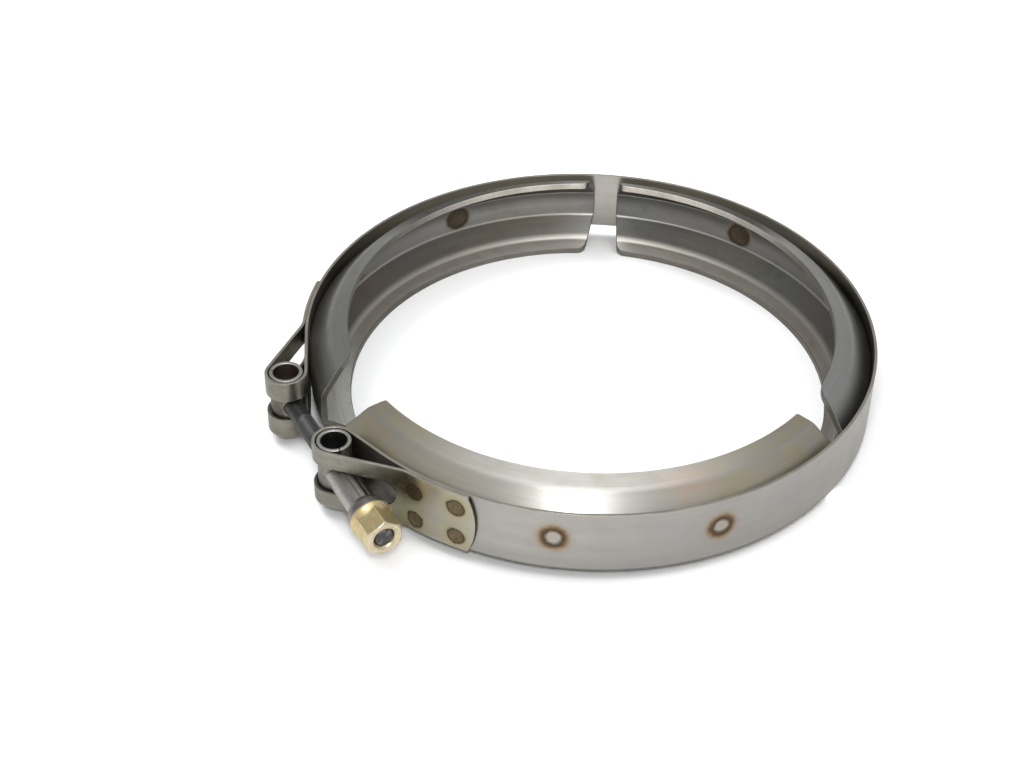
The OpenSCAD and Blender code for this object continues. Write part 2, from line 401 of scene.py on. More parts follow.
def triangulate(loops, grid, extra, clear):
    """Fills the loops. grid points keep clear of the loops by clear, extra ones by less.
    Returns the points, the faces, and where each loop point went."""
    cell_size, extra_clear = 3, 0.3
    points, edges = [], []
    for loop in loops:
        start = len(points)
        points += loop
        edges += [(start + i, start + (i + 1) % len(loop)) for i in range(len(loop))]
    boundary = len(points)

    def cell(value):
        return int(math.floor(value / cell_size))

    cells = {}
    for i, j in edges:
        a, b = points[i], points[j]
        for x in range(cell(min(a[0], b[0]) - clear), cell(max(a[0], b[0]) + clear) + 1):
            for y in range(cell(min(a[1], b[1]) - clear), cell(max(a[1], b[1]) + clear) + 1):
                cells.setdefault((x, y), []).append((a, b))

    def fits(point, gap):
        near = cells.get((cell(point[0]), cell(point[1])), ())
        return inside(point, loops) and all(segment_distance(point, *s) >= gap for s in near)

    points += [p for p in grid if fits(p, clear)]
    points += [p for p in extra if fits(p, extra_clear)]
    result = delaunay_2d_cdt([Vector(p) for p in points], edges, [], 1, 1e-6, True)
    placed = [(c[0], c[1]) for c in result[0]]
    faces = []
    for face in result[2]:
        corners = [placed[i] for i in face]
        centre = (sum(c[0] for c in corners) / len(face), sum(c[1] for c in corners) / len(face))
        if inside(centre, loops):
            faces.append(list(face) if signed_area(corners) >= 0 else list(face)[::-1])
    used = sorted({i for face in faces for i in face})
    number = {old: new for new, old in enumerate(used)}
    went = {source: number[i] for i, sources in enumerate(result[3])
            for source in sources if source < boundary}
    return [placed[i] for i in used], [[number[i] for i in f] for f in faces], went


def sheet_solid(name, outer, holes, surface, thickness, edge_r, columns, rows, welds,
                weld_clear, extra, mats, clear):
    """A formed sheet: a flat pattern carried onto surface(u, v, h), every cut edge rounded to
    edge_r. columns, rows: the pattern's inner grid lines, left out within weld_clear of a weld.
    mats: the h > 0 face, the cut edges, the h < 0 face."""
    loops = [list(outer)] + [list(h) for h in holes]
    for i, loop in enumerate(loops):
        if (signed_area(loop) < 0) == (i == 0):
            loop.reverse()
    insets, outwards = zip(*(inset_loop(loop, edge_r) for loop in loops))
    grid = [(u, v) for u in columns for v in rows
            if not any(math.hypot(u - w[0], v - w[1]) < weld_clear for w in welds)]
    points, flat_faces, went = triangulate(insets, grid, extra, clear)
    count = len(points)

    def frame_at(u, v, h):
        """Point, derivatives along u and v, and their unit normal."""
        delta = 0.02
        du = [(a - b) / (2 * delta)
              for a, b in zip(surface(u + delta, v, h), surface(u - delta, v, h))]
        dv = [(a - b) / (2 * delta)
              for a, b in zip(surface(u, v + delta, h), surface(u, v - delta, h))]
        normal = (du[1] * dv[2] - du[2] * dv[1], du[2] * dv[0] - du[0] * dv[2],
                  du[0] * dv[1] - du[1] * dv[0])
        return surface(u, v, h), du, dv, unit(normal)

    # does u x v point along increasing h?
    u, v = points[count // 2]
    normal = frame_at(u, v, 0)[3]
    rise = minus(surface(u, v, thickness / 2), surface(u, v, -thickness / 2))
    hand = 1 if sum(a * b for a, b in zip(rise, normal)) > 0 else -1

    verts, uvs, normals, faces, slots = [], [], [], [], []
    for side in (1, -1):
        for u, v in points:
            point, _, _, normal = frame_at(u, v, side * thickness / 2)
            verts.append(point)
            uvs.append((u, v))
            normals.append(tuple(side * hand * c for c in normal))
    for face in flat_faces:
        face = face[::hand]
        faces.append(tuple(face))
        faces.append(tuple(count + i for i in reversed(face)))
        slots += [0, 2]

    # the edge's rounding: (outwards, h, share of outward in the normal, share of h)
    profile = []
    for j in range(1, 4):
        angle = PI / 2 * j / 3
        profile.append((edge_r * math.sin(angle) - edge_r,
                        thickness / 2 - edge_r + edge_r * math.cos(angle),
                        math.sin(angle), math.cos(angle)))
    profile += [(out, -h, share, -up) for out, h, share, up in reversed(profile)]
    start = 0
    for loop, outward in zip(loops, outwards):
        strips = []
        for i, (point, (gx, gy, mitre)) in enumerate(zip(loop, outward)):
            corner = went[start + i]
            strip = [corner]
            for out, h, share, up in profile:
                place, du, dv, normal = frame_at(point[0] + gx * out * mitre,
                                                 point[1] + gy * out * mitre, h)
                side = unit([gx * a + gy * b for a, b in zip(du, dv)])
                strip.append(len(verts))
                verts.append(place)
                uvs.append(point)
                normals.append(unit([share * a + up * hand * b for a, b in zip(side, normal)]))
            strip.append(count + corner)
            strips.append(strip)
        start += len(loop)
        for here, ahead in zip(strips, strips[1:] + strips[:1]):
            for j in range(len(here) - 1):
                faces.append((here[j], here[j + 1], ahead[j + 1], ahead[j])[::hand])
                slots.append(1)
    return make(name, verts, faces, uvs, normals, slots, mats)


def weld_cloud(centre, radius, rings):
    """Extra pattern points round a weld, in rings."""
    out = [centre]
    for i in range(1, rings + 1):
        for j in range(6 * i):
            angle = 2 * PI * (j + 0.5 * (i % 2)) / (6 * i)
            out.append(step(centre, (math.cos(angle), math.sin(angle)), radius * i / rings))
    return out


def dimple(distance):
    """Depth of a weld mark: a flat-bottomed electrode print with a faint raised lip."""
    return (0.16 * (1 - smoothstep(1.6, 2.9, distance))
            - 0.035 * math.exp(-((distance - 3.3) / 0.5) ** 2))


def weld_depth(u, v, welds, spread=1.0):
    distances = [math.hypot(u - w[0], v - w[1]) for w in welds]
    return sum(dimple(d * spread) for d in distances if d < 5)


# ------------------------------------------------------------------ shader building
class Value:
    """An output socket. Arithmetic on it adds Math nodes to its shader."""

    def __init__(self, shader, socket):
        self.shader, self.socket = shader, socket

    def math(self, operation, *operands):
        return self.shader.math(operation, self, *operands)

    def __add__(self, other):
        return self.math("ADD", other)

    def __sub__(self, other):
        return self.math("SUBTRACT", other)

    def __mul__(self, other):
        return self.math("MULTIPLY", other)

    def __pow__(self, other):
        return self.math("POWER", other)

    def __abs__(self):
        return self.math("ABSOLUTE")

    def fade(self, low, high, start=0.0, end=1.0, **settings):
        """Clamped map of low..high onto start..end."""
        inputs = dict(enumerate((self, low, high, start, end)))
        return self.shader.add("ShaderNodeMapRange", inputs, clamp=True, **settings)

    def rise(self, low, high):
        return self.fade(low, high, interpolation_type="SMOOTHSTEP")

    def fall(self, low, high, top=1.0, floor=0.0):
        return self.fade(low, high, top, floor, interpolation_type="SMOOTHSTEP")


class Shader:
    """The node tree of a material or a world, emptied."""

    def __init__(self, owner):
        owner.use_nodes = True
        self.tree = owner.node_tree
        self.tree.nodes.clear()

    def node(self, kind, **settings):
        node = self.tree.nodes.new(kind)
        for name, setting in settings.items():
            setattr(node, name, setting)
        return node

    def put(self, socket, value):
        if isinstance(value, Value):
            self.tree.links.new(value.socket, socket)
        elif isinstance(value, tuple) and socket.type == "RGBA":
            socket.default_value = (*value, 1)
        else:
            socket.default_value = value

    def add(self, kind, inputs, output=0, **settings):
        node = self.node(kind, **settings)
        for key, value in inputs.items():
            self.put(node.inputs[key], value)
        return Value(self, node.outputs[output])

    def math(self, operation, *operands):
        if len(operands) == 1:
            operands += (0.0,)
        return self.add("ShaderNodeMath", dict(enumerate(operands)), operation=operation)

    def in_mm(self, value, count):
        """The first components of a vector in metres, in mm."""
        node = self.node("ShaderNodeSeparateXYZ")
        self.put(node.inputs[0], value)
        return [Value(self, node.outputs[i]) * 1000.0 for i in range(count)]

    def uv(self):
        return self.in_mm(self.add("ShaderNodeUVMap", {}, uv_map="UVMap"), 2)

    def position(self):
        return self.in_mm(self.add("ShaderNodeTexCoord", {}, "Object"), 3)

    def noise(self, point, scale=1.0, detail=3.0, roughness=0.6):
        """Noise at a point of two or three parts; a fixed third part sets the pattern apart."""
        vector = self.add("ShaderNodeCombineXYZ", dict(enumerate(point)))
        return self.add("ShaderNodeTexNoise", {"Vector": vector, "Scale": scale,
                                               "Detail": detail, "Roughness": roughness})

    def brushed(self, along, across, stretch):
        """Brush lines: fine, medium, and long broad ones."""
        fine = self.noise((along * (stretch * 2.2), across * 5.5), detail=2)
        medium = self.noise((along * stretch, across * 1.7, 7.0))
        broad = self.noise((along * (stretch * 0.45), across * 0.30, 21.0),
                           detail=2, roughness=0.5)
        return fine, medium, broad

    def ramp(self, factor, stops):
        """stops: (position, grey level or colour)"""
        node = self.node("ShaderNodeValToRGB")
        elements = node.color_ramp.elements
        while len(elements) < len(stops):
            elements.new(0.5)
        for element, (position, colour) in zip(elements, stops):
            element.position = position
            element.color = (*colour, 1) if isinstance(colour, tuple) else (*[colour] * 3, 1)
        self.put(node.inputs[0], factor)
        return Value(self, node.outputs[0])

    def mix(self, factor, first, second, mode="MIX"):
        return self.add("ShaderNodeMix", {0: factor, 6: first, 7: second}, 2,
                        data_type="RGBA", blend_type=mode)

    def mottle(self, noise, first, second):
        return self.mix(noise.fade(0.35, 0.65), first, second)

    def tint(self, base, factor, amount=None):
        """base multiplied by factor, wholly or by amount"""
        tinted = self.mix(1.0, base, factor, "MULTIPLY")
        return tinted if amount is None else self.mix(amount, base, tinted)

    def bump(self, height, distance, strength):
        return self.add("ShaderNodeBump", {"Strength": strength, "Distance": distance * MM,
                                           "Height": height})


class Material(Shader):
    def __init__(self, name):
        self.material = bpy.data.materials.new(name)
        super().__init__(self.material)
        output = self.node("ShaderNodeOutputMaterial")
        self.surface = self.node("ShaderNodeBsdfPrincipled")
        self.tree.links.new(self.surface.outputs[0], output.inputs[0])

    def finish(self, **inputs):
        for name, value in inputs.items():
            self.put(self.surface.inputs[name.replace("_", " ")], value)
        return self.material

    def finish_brushed(self, **inputs):
        tangent = self.add("ShaderNodeTangent", {}, direction_type="UV_MAP", uv_map="UVMap")
        return self.finish(Anisotropic=0.5, Anisotropic_Rotation=0.25, Tangent=tangent, **inputs)

    def wear(self, base, colour, grain, least, most):
        """Rubs the convex edges to colour, by least to most with the grain."""
        geometry = self.node("ShaderNodeNewGeometry")
        edge = Value(self, geometry.outputs["Pointiness"]).fade(0.52, 0.60)
        return self.mix(edge * grain.fade(0.3, 0.6, least, most), base, colour)


def srgb(*channels):
    """sRGB 0-255 to linear"""
    shares = [c / 255 for c in channels]
    return tuple(c / 12.92 if c <= 0.04045 else ((c + 0.055) / 1.055) ** 2.4 for c in shares)


def shader_distance(x, y, centre):
    return ((x - centre[0]) ** 2.0 + (y - centre[1]) ** 2.0).math("SQRT")


def weld_distance(mat, along, across, centres):
    """Wobbly distance to the nearest centre."""
    nearest = None
    wobble = mat.noise((along, across, 3.0), scale=0.55, detail=2)
    for centre in centres:
        distance = shader_distance(along, across, centre)
        nearest = distance if nearest is None else nearest.math("MINIMUM", distance)
    return nearest + (wobble - 0.5) * 1.3


# ------------------------------------------------------------------ sheet materials
def strap_material(name, strap, outside):
    """outside: the face that is outermost on the ring; the other is outermost on loop and tab"""
    mat = Material(name)
    along, across = mat.uv()
    loop_end, gap = strap.bend_end, strap.gap
    # one length round the whole ring, so the grain runs on from strap to strap
    ring = along.math("MULTIPLY_ADD", -strap.side, strap.ring_offset)
    fine, medium, broad = mat.brushed(ring, across, 0.035)
    patch = mat.noise((ring, across, 11.0), scale=0.035, roughness=0.5)
    smudge = mat.noise((ring, across, 31.0), scale=0.16, detail=4, roughness=0.62)
    base = mat.mottle(patch, srgb(197, 194, 190), srgb(208, 204, 196))
    base = mat.mix(broad.fade(0.3, 0.7, end=0.45), base, srgb(182, 180, 178))
    base = mat.mix(medium.fade(0.35, 0.7, end=0.22), base, srgb(216, 214, 212))
    base = mat.mix(fine.fade(0.4, 0.8, end=0.20), base, srgb(165, 163, 161))
    base = mat.mix(smudge.fade(0.55, 0.8, end=0.18), base, srgb(166, 159, 148))
    metallic = 1.0
    if outside:
        base = mat.tint(base, (0.76, 0.76, 0.765))
        # a dark line painted along the lower rim as shade
        base = mat.mix(across.fall(-10.9, -10.4, top=0.75), base, srgb(66, 66, 68))
    else:
        on_tab = along.rise(loop_end - 8.0, loop_end + 6.0)
        base = mat.tint(base, (0.86, 0.84, 0.81), on_tab)
        # under the retainers it is painted darker and browner as shade, only the stretch in the
        # gap stays bright
        from_gap = abs(along - gap)
        hidden = along.fall(-14.0, 0.0) * from_gap.rise(3.9, 6.5)
        # the painted shade starts earlier towards the upper rim
        ring_at_rim = ring + across.fade(6.5, 10.0, end=arc_on_ring(18))
        far_side = (ring_at_rim.rise(arc_on_ring(76), arc_on_ring(112))
                    * ring.fall(arc_on_ring(190), arc_on_ring(224)))
        painted_shade = mat.mix(from_gap.rise(8.0, 32.0), (0.66, 0.64, 0.58), (1.06, 1.01, 0.88))
        painted_shade = mat.mix(far_side, (0.46, 0.44, 0.40), painted_shade)
        base = mat.tint(base, painted_shade, hidden)
        # the stretch with the darkest painted shade is also made less metallic, so it scatters
        metallic = (hidden * far_side).math("MULTIPLY_ADD", -0.20, 1.0)
    # the folded loop is made darker and browner
    on_loop = along.rise(-6.0, 6.0) * along.fall(loop_end - 2.0, loop_end + 8.0)
    loop_darker = mat.mottle(smudge, srgb(143, 140, 129), srgb(120, 116, 103))
    loop_darker = mat.mix(medium.fade(0.4, 0.75, end=0.3), loop_darker, srgb(166, 162, 150))
    base = mat.mix(on_loop * 0.9, base, loop_darker)
    # handling wear close to the sheet's edges
    near_edge = abs(across).rise(9.8, 11.1)
    base = mat.mix(near_edge * 0.22, base, srgb(186, 182, 176))
    rough = fine.fade(0.2, 0.8, 0.30, 0.40) + smudge.fade(0.4, 0.8, end=0.07)
    height = fine * 0.30 + medium * 0.5
    if outside:
        # ring welds: pale print, grey-brown ring, straw halo
        reach = 7.1
        distance = weld_distance(mat, along, across, strap.ring_welds)
        heat = mat.ramp(distance.fade(0.0, reach), [
            (0.0, srgb(182, 176, 168)), (0.24, srgb(188, 182, 172)), (0.33, srgb(128, 112, 94)),
            (0.42, srgb(78, 66, 52)), (0.53, srgb(104, 80, 52)), (0.63, srgb(146, 112, 70)),
            (0.78, srgb(172, 156, 124)), (1.0, srgb(168, 164, 158))])
        amount = mat.ramp(distance.fade(0.0, reach), [
            (0.0, 0.6), (0.30, 0.72), (0.42, 0.96), (0.56, 0.88), (0.72, 0.50), (1.0, 0.0)])
        base = mat.mix(amount, base, heat)
        rough = rough + amount * 0.10
    else:
        # tab welds: brown prints with turned electrode rings, a straw to green-yellow bloom
        distance = weld_distance(mat, along, across, strap.tab_welds)
        grain = mat.noise((along, across, 5.0), scale=1.1)
        spot = mat.mottle(grain, srgb(134, 116, 84), srgb(104, 88, 62))
        rings = (distance * 7.5).math("SINE").fall(-0.4, 0.9, top=0.0, floor=0.5)
        spot = mat.mix(rings, spot, srgb(84, 70, 48))
        heat = mat.mix(distance.fade(2.25, 2.65), spot, srgb(72, 58, 38))
        heat = mat.mix(distance.fade(2.9, 3.6), heat, srgb(180, 174, 128))
        amount = mat.ramp(distance.fade(0.0, 8.0), [
            (0.0, 0.92), (0.36, 0.92), (0.44, 0.66), (0.58, 0.42), (1.0, 0.10)])
        reach = distance.fall(8.0, 15.0)
        # a dark blot beside the first weld
        first = strap.tab_welds[0]
        blot_at = weld_distance(mat, along, across, [(first[0] - 2.6, first[1] + 1.2)])
        blot = blot_at.fall(2.5, 8.0) * grain.fade(0.3, 0.6, 0.55, 0.85)
        base = mat.mix(amount * reach, base, heat)
        base = mat.mix(blot, base, srgb(72, 60, 42))
        rough = rough + (amount * reach) * 0.12
        height = height + rings * distance.fade(1.9, 2.5, 1.2, 0.0)
    return mat.finish_brushed(Base_Color=base, Metallic=metallic, Roughness=rough,
                              Normal=mat.bump(height, distance=0.012, strength=0.55))


def edge_material(name, tint, end_tint, half, metallic, tab_end=None, shine=None, low=None):
    """Sheared sheet edge: tint on the long edges, |v| near half, and end_tint across the ends.
    tab_end: where the strap's outer end is; the cut edge across it is painted dark as shade.
    shine: where along u the painted highlight
    on the long edges is brightest. low: the tint of the lower long edge, painted darker as shade."""
    mat = Material(name)
    along, across = mat.uv()
    point = mat.position()
    grain = mat.noise(point, scale=1.6)
    patch = mat.noise(point, scale=0.12, detail=2, roughness=0.5)
    long_edge = abs(across).rise(half - 1.6, half - 0.3)
    # painted highlight along the long edges, strongest at shine
    if shine is not None:
        long_edge = long_edge * abs(along - shine).fall(24.0, 105.0, floor=0.12)
    # the lower long edge painted darker as shade
    if low is not None:
        tint = mat.mix(across.fade(-1.0, 1.0), low, tint)
    base = mat.mix(long_edge, end_tint, tint)
    if tab_end is not None:
        # painted shade on the cut edge across the tab's end
        tab_end_shade = (along.fade(tab_end - 6.0, tab_end - 4.5)
                      * abs(across).fade(half - 0.7, half - 0.25, 1.0, 0.0))
        base = mat.mix(tab_end_shade, base, srgb(66, 60, 50))
    base = mat.mix(grain.fade(0.3, 0.7, end=0.3), base, srgb(118, 114, 106))
    base = mat.mix(patch.fade(0.4, 0.7, end=0.35), base, srgb(112, 106, 98))
    return mat.finish(Base_Color=base, Metallic=long_edge.fade(0.0, 1.0, 1.0, metallic),
                      Roughness=grain.fade(0.2, 0.8, 0.34, 0.52),
                      Normal=mat.bump(grain, distance=0.03, strength=0.5))


def inner_colour(mat, along, off_middle, across, patch, by_head):
    """The concave face: web, legs and lips each painted in its own level of light and shade, the
    legs darkest.
    """
    web = mat.mottle(patch, srgb(162, 162, 161), srgb(168, 165, 158))
    leg = mat.mottle(patch, srgb(121, 121, 120), srgb(129, 122, 114))
    lip = mat.mottle(patch, srgb(206, 204, 200), srgb(204, 196, 188))
    # painted lighter by the bolt's head
    leg = mat.mix(by_head, leg, srgb(186, 187, 180))
    lip = mat.mix(by_head, lip, srgb(232, 233, 228))
    # the legs' painted shade is paler and greener on the front and right
    near = along.fall(arc_on_section(100), arc_on_section(140))
    leg = mat.mix(near, leg, mat.mottle(patch, srgb(160, 160, 154), srgb(162, 156, 147)))
    # painted shade in the web's upper corner, under the lip
    web = mat.tint(web, (0.40, 0.395, 0.38), across.rise(-1.4, 4.2))
    base = mat.mix(off_middle.rise(WEB_BEND - 0.5, WEB_BEND + 1.3), web, leg)
    return mat.mix(off_middle.rise(KNEE_BEND - 0.3, KNEE_BEND + 2.2), base, lip)


def front_outer_colour(mat, along, across, cloud, base):
    """Olive and straw painted towards the front retainer's ends as a reflection of a warmer room,
    and one faint pink bloom.
    """
    # painted reflection: olive and straw away from the middle
    from_middle = abs(along - arc_on_section(-34))
    end_reflection = from_middle.rise(18.0, 66.0) * cloud.fade(0.36, 0.62, 0.25, 0.9)
    base = mat.mix(end_reflection, base, srgb(200, 190, 164))
    bloom_along, bloom_across = arc_on_section(-11), 15.0
    distance = (((along - bloom_along) * 0.55) ** 2.0
                + (across - bloom_across) ** 2.0).math("SQRT")
    bloom = distance.fall(1.0, 6.5) * cloud.fade(0.3, 0.6, 0.2, 0.7)
    return mat.mix(bloom, base, srgb(214, 186, 168))


def back_outer_colour(mat, along, off_middle, base):
    """The right and left retainers, with painted shade out of the crease with the strap, and
    painted shade, tinted brown, on the far side of the ring.
    """
    # painted shade from the crease with the strap out along the leg, less of it by the bolt's
    # head
    low = mat.mix(along.rise(arc_on_section(212), arc_on_section(238)),
                  (0.40, 0.405, 0.41), (0.80, 0.81, 0.80))
    shade = mat.mix(off_middle.rise(WEB_BEND + 1.8, KNEE_BEND + 2.0), low, (0.98, 1.0, 1.0))
    base = mat.tint(base, shade)
    # painted shade, tinted brown, on the lips' backs, darker away from the gap
    far_side = (along.rise(arc_on_section(92), arc_on_section(106))
                * along.fall(arc_on_section(194), arc_on_section(212)))
    from_gap = abs(along - arc_on_section(GAP_BACK))
    painted_shade = mat.mix(from_gap.rise(6.0, 24.0), (0.70, 0.69, 0.66), (0.36, 0.345, 0.305))
    painted_shade = mat.mix(from_gap.rise(28.0, 60.0), painted_shade, (0.15, 0.143, 0.125))
    base = mat.tint(base, painted_shade, far_side)
    # painted shade reaching further out of the crease on both sides of that stretch
    right = (along.rise(arc_on_section(66), arc_on_section(84))
             * along.fall(arc_on_section(98), arc_on_section(110)))
    left = (along.rise(arc_on_section(186), arc_on_section(196))
            * along.fall(arc_on_section(206), arc_on_section(216)))
    deep = mat.mix(off_middle.rise(WEB_BEND + 1.8, KNEE_BEND + 5.0),
                   (0.26, 0.26, 0.255), (1.0, 1.0, 1.0))
    return mat.tint(base, deep, right.math("MAXIMUM", left))


def retainer_material(name, inner, front, painted_light, welds, shine):
    """Press-formed section. inner: the concave face. front: the front retainer.
    shine: where along u the painted highlights on the inner bends are brightest."""
    mat = Material(name)
    along, across = mat.uv()
    off_middle = abs(across)
    fine, medium, broad = mat.brushed(along, across, 0.03)
    patch = mat.noise((along * 0.5, across, 17.0), scale=0.05, roughness=0.55)
    cloud = mat.noise((along, across, 41.0), scale=0.13, detail=4)
    metallic = 1.0
    bend_highlights = ()                      # painted highlights along the bends: (|v|, half width, colour)
    if inner:
        by_head = along.rise(arc_on_section(226), arc_on_section(246))
        metallic = by_head.math("MULTIPLY_ADD", -0.18, 1.0)
        base = inner_colour(mat, along, off_middle, across, patch, by_head)
        base = mat.tint(base, (0.70, 0.69, 0.68), broad.fade(0.32, 0.7, end=0.45))
        # painted highlights along the web bend and the knee bend
        bend_highlights = ((WEB_BEND, 0.75, srgb(238, 236, 232)),
                     (KNEE_BEND - 0.1, 2.7, srgb(238, 234, 228)))
        cloud_colour = srgb(104, 95, 84)
    else:
        base = mat.mottle(patch, srgb(189, 188, 186), srgb(191, 188, 181))
        base = mat.mix(broad.fade(0.32, 0.7, end=0.45), base, srgb(172, 170, 165))
        if front:
            base = front_outer_colour(mat, along, across, cloud, base)
            # a painted highlight along the knee bend
            bend_highlights = ((KNEE_BEND, 1.1, srgb(196, 194, 190)),)
        else:
            base = back_outer_colour(mat, along, off_middle, base)
        cloud_colour = srgb(164, 152, 128)
    base = mat.tint(base, (1.4, 1.4, 1.4), medium.fade(0.4, 0.75, end=0.16))
    base = mat.tint(base, (0.7, 0.7, 0.7), fine.fade(0.4, 0.8, end=0.30))
    base = mat.mix(cloud.fade(0.52, 0.78, end=0.30), base, cloud_colour)
    # a painted light level, which makes the whole face lighter or darker
    if painted_light != 1.0:
        relit = mat.tint(base, (painted_light, painted_light * 1.01, painted_light * 1.03))
        if inner:
            # the lips keep their own painted level
            relit = mat.mix(off_middle.fade(KNEE_BEND - 1.0, KNEE_BEND + 1.0), relit, base)
        base = relit
    # painted highlights along the bends, which are also made smoother than the flats
    bend_highlight = None
    amount = medium.fade(0.25, 0.7, 0.45, 1.0)
    if shine is not None:
        amount = amount * abs(along - shine).fall(10.0, 75.0, floor=0.45)
    for centre, half_width, colour in bend_highlights:
        line = abs(off_middle - centre).fall(0.0, half_width)
        wide = half_width > 2
        line = line * (amount.fade(0.0, 1.0, 0.45, 1.0) if wide else amount)
        base = mat.mix(line, base, colour)
        bend_highlight = line if bend_highlight is None else bend_highlight.math("MAXIMUM", line)
    rough = fine.fade(0.2, 0.8, 0.33, 0.43) + cloud.fade(0.4, 0.8, end=0.08)
    rough = rough - mat.math("MULTIPLY", 0.0 if bend_highlight is None else bend_highlight, 0.07)
    if inner:
        # weld prints
        distance = weld_distance(mat, along, across, welds)
        grain = mat.noise((along, across, 9.0), scale=0.9)
        disc = mat.mottle(grain, srgb(96, 84, 66), srgb(74, 62, 46))
        heat = mat.mix(distance.fade(3.1, 3.8), disc, srgb(70, 58, 42))
        heat = mat.mix(distance.fade(4.3, 5.2), heat, srgb(140, 132, 116))
        printed = mat.ramp(distance.fade(0.0, 7.0),
                           [(0.0, 0.86), (0.56, 0.92), (0.70, 0.45), (0.9, 0.0)])
        base = mat.mix(printed, base, heat)
        rough = rough + printed * 0.12
    height = fine * 0.3 + medium * 0.55
    return mat.finish_brushed(Base_Color=base, Metallic=metallic, Roughness=rough,
                              Normal=mat.bump(height, distance=0.014, strength=0.55))


# ------------------------------------------------------------------ the straps
class Strap:
    """One strap. Its mid-line in plan runs by length: the ring (below 0), inner leaf, loop,
    outer leaf, bend, tab. It is worked out on +X; side = -1 mirrors it."""

    def __init__(self, tag, side, pin_x, tab_end, tab_short, gap, ring_welds, tab_welds):
        self.tag, self.side = tag, side
        self.pin = (pin_x, -BOLT_Y)
        pin_reach = math.hypot(*self.pin)
        self.ring_r = STRAP_RI + STRAP_T / 2
        self.loop_r = LOOP_RI + STRAP_T / 2
        self.bend_r = LEAF_BEND + STRAP_T / 2
        self.tab_r = TAB_R + STRAP_T / 2
        # the inner leaf is tangent to ring and loop
        both = STRAP_RI + LOOP_RO
        inner_leaf = math.sqrt(pin_reach * pin_reach - both ** 2)
        self.pin_bearing = math.degrees(math.atan2(pin_x, BOLT_Y))
        self.leave = self.pin_bearing + math.degrees(math.atan2(inner_leaf, both))
        self.touch = self.pin_bearing + LEAF_CONTACT
        # the outer leaf is tangent to loop and bend
        self.bend = step((0, 0), ray(self.touch), TAB_R + STRAP_T + LEAF_BEND)
        apart = LOOP_RI + LEAF_BEND + STRAP_T
        to_bend = minus(self.bend, self.pin)
        distance = math.hypot(*to_bend)
        leaf_angle = heading(to_bend) - math.degrees(math.acos(apart / distance))
        self.leaf_out = direction(leaf_angle)
        self.leaf_run = (-self.leaf_out[1], self.leaf_out[0])
        outer_leaf = math.sqrt(distance * distance - apart * apart)
        self.loop_from = heading(step((0, 0), ray(self.leave), -1))
        loop_to = leaf_angle + 360
        self.bend_from = heading(step((0, 0), self.leaf_out, -1))
        bend_to = heading(step((0, 0), ray(self.touch), -1))
        if self.bend_from < bend_to:
            self.bend_from += 360
        self.inner_end = inner_leaf
        self.loop_end = self.inner_end + self.loop_r * rad(loop_to - self.loop_from)
        self.outer_end = self.loop_end + outer_leaf
        self.bend_end = self.outer_end + self.bend_r * rad(self.bend_from - bend_to)
        self.end = self.bend_end + self.tab_r * rad(tab_end - self.touch) - tab_short
        plan_at_leave = self.leave - 90 if side > 0 else 270 - self.leave
        self.ring_offset = self.ring_r * rad(plan_at_leave)
        self.gap = self.on_ring(gap)
        self.ring_welds = [(self.on_ring(plan), z) for plan, z in ring_welds]
        self.tab_welds = [(self.bend_end + self.tab_r * rad(bearing - self.touch), z)
                          for bearing, z in tab_welds]

    def on_ring(self, plan):
        """Length at a plan angle on the ring."""
        bearing = plan + 90 if self.side > 0 else 270 - plan
        return -self.ring_r * rad(bearing - self.leave)

    def at(self, length):
        """Mid-line point and sheet normal."""
        if length < self.inner_end:
            past = max(length, 0.0)
            bearing = self.leave - math.degrees(min(length, 0.0) / self.ring_r)
            out = ray(bearing)
            tangent = (-math.cos(rad(bearing)), -math.sin(rad(bearing)))
            point = step(step((0, 0), out, self.ring_r), tangent, past)
            return point, (-out[0], -out[1])
        if length < self.loop_end:
            turn = math.degrees((length - self.inner_end) / self.loop_r)
            out = direction(self.loop_from + turn)
            return step(self.pin, out, self.loop_r), out
        if length < self.outer_end:
            start = step(self.pin, self.leaf_out, self.loop_r)
            return step(start, self.leaf_run, length - self.loop_end), self.leaf_out
        if length < self.bend_end:
            turn = math.degrees((length - self.outer_end) / self.bend_r)
            out = direction(self.bend_from - turn)
            return step(self.bend, out, self.bend_r), (-out[0], -out[1])
        out = ray(self.touch + math.degrees((length - self.bend_end) / self.tab_r))
        return step((0, 0), out, self.tab_r), out

    def surface(self, length, z, h):
        point, normal = self.at(length)
        offset = h
        # the ring's outside is the h < 0 face, the tab's is the h > 0 face
        if h < 0 and length < 0:
            offset += weld_depth(length, z, self.ring_welds)
        if h > 0 and length > self.bend_end:
            offset -= weld_depth(length, z, self.tab_welds, spread=1.15)
        x, y = step(point, normal, offset)
        return (self.side * x, y, z)


def strap_outline(strap, start):
    """Square end at the joint on the ring, convex end on the tab."""
    end_r = 25.0
    loop = [(start, HALF), (start, -HALF)]
    # the tip points next to its corners are left out, as the fillets take their place
    for i in (0, *range(2, 23), 24):
        z = -HALF + 2 * HALF * i / 24
        loop.append((strap.end - (end_r - math.sqrt(end_r * end_r - z * z)), z))
    radii = [0.25, 0.25, 0.7] + [0] * (len(loop) - 4) + [0.7]
    return resample(fillet(loop, radii, 5), 1.6)


def bolt_slot(strap, half, more):
    """From the loop through the inner leaf's side of it, with one rounded end."""
    first = strap.inner_end + strap.loop_r * rad(SLOT_START - strap.loop_from)
    last = strap.loop_end
    while True:
        (x, y), _ = strap.at(last)
        if math.degrees(math.atan2(x, -y)) >= strap.pin_bearing + SLOT_REACH + more:
            break
        last += 0.05
    far = [(last + 5.6 * math.sin(rad(a)), -half * math.cos(rad(a))) for a in range(0, 181, 12)]
    hole = fillet([(first, half), (first, -half)] + far, [1.2, 1.2] + [0] * len(far), 5)
    return resample(hole, 0.9)


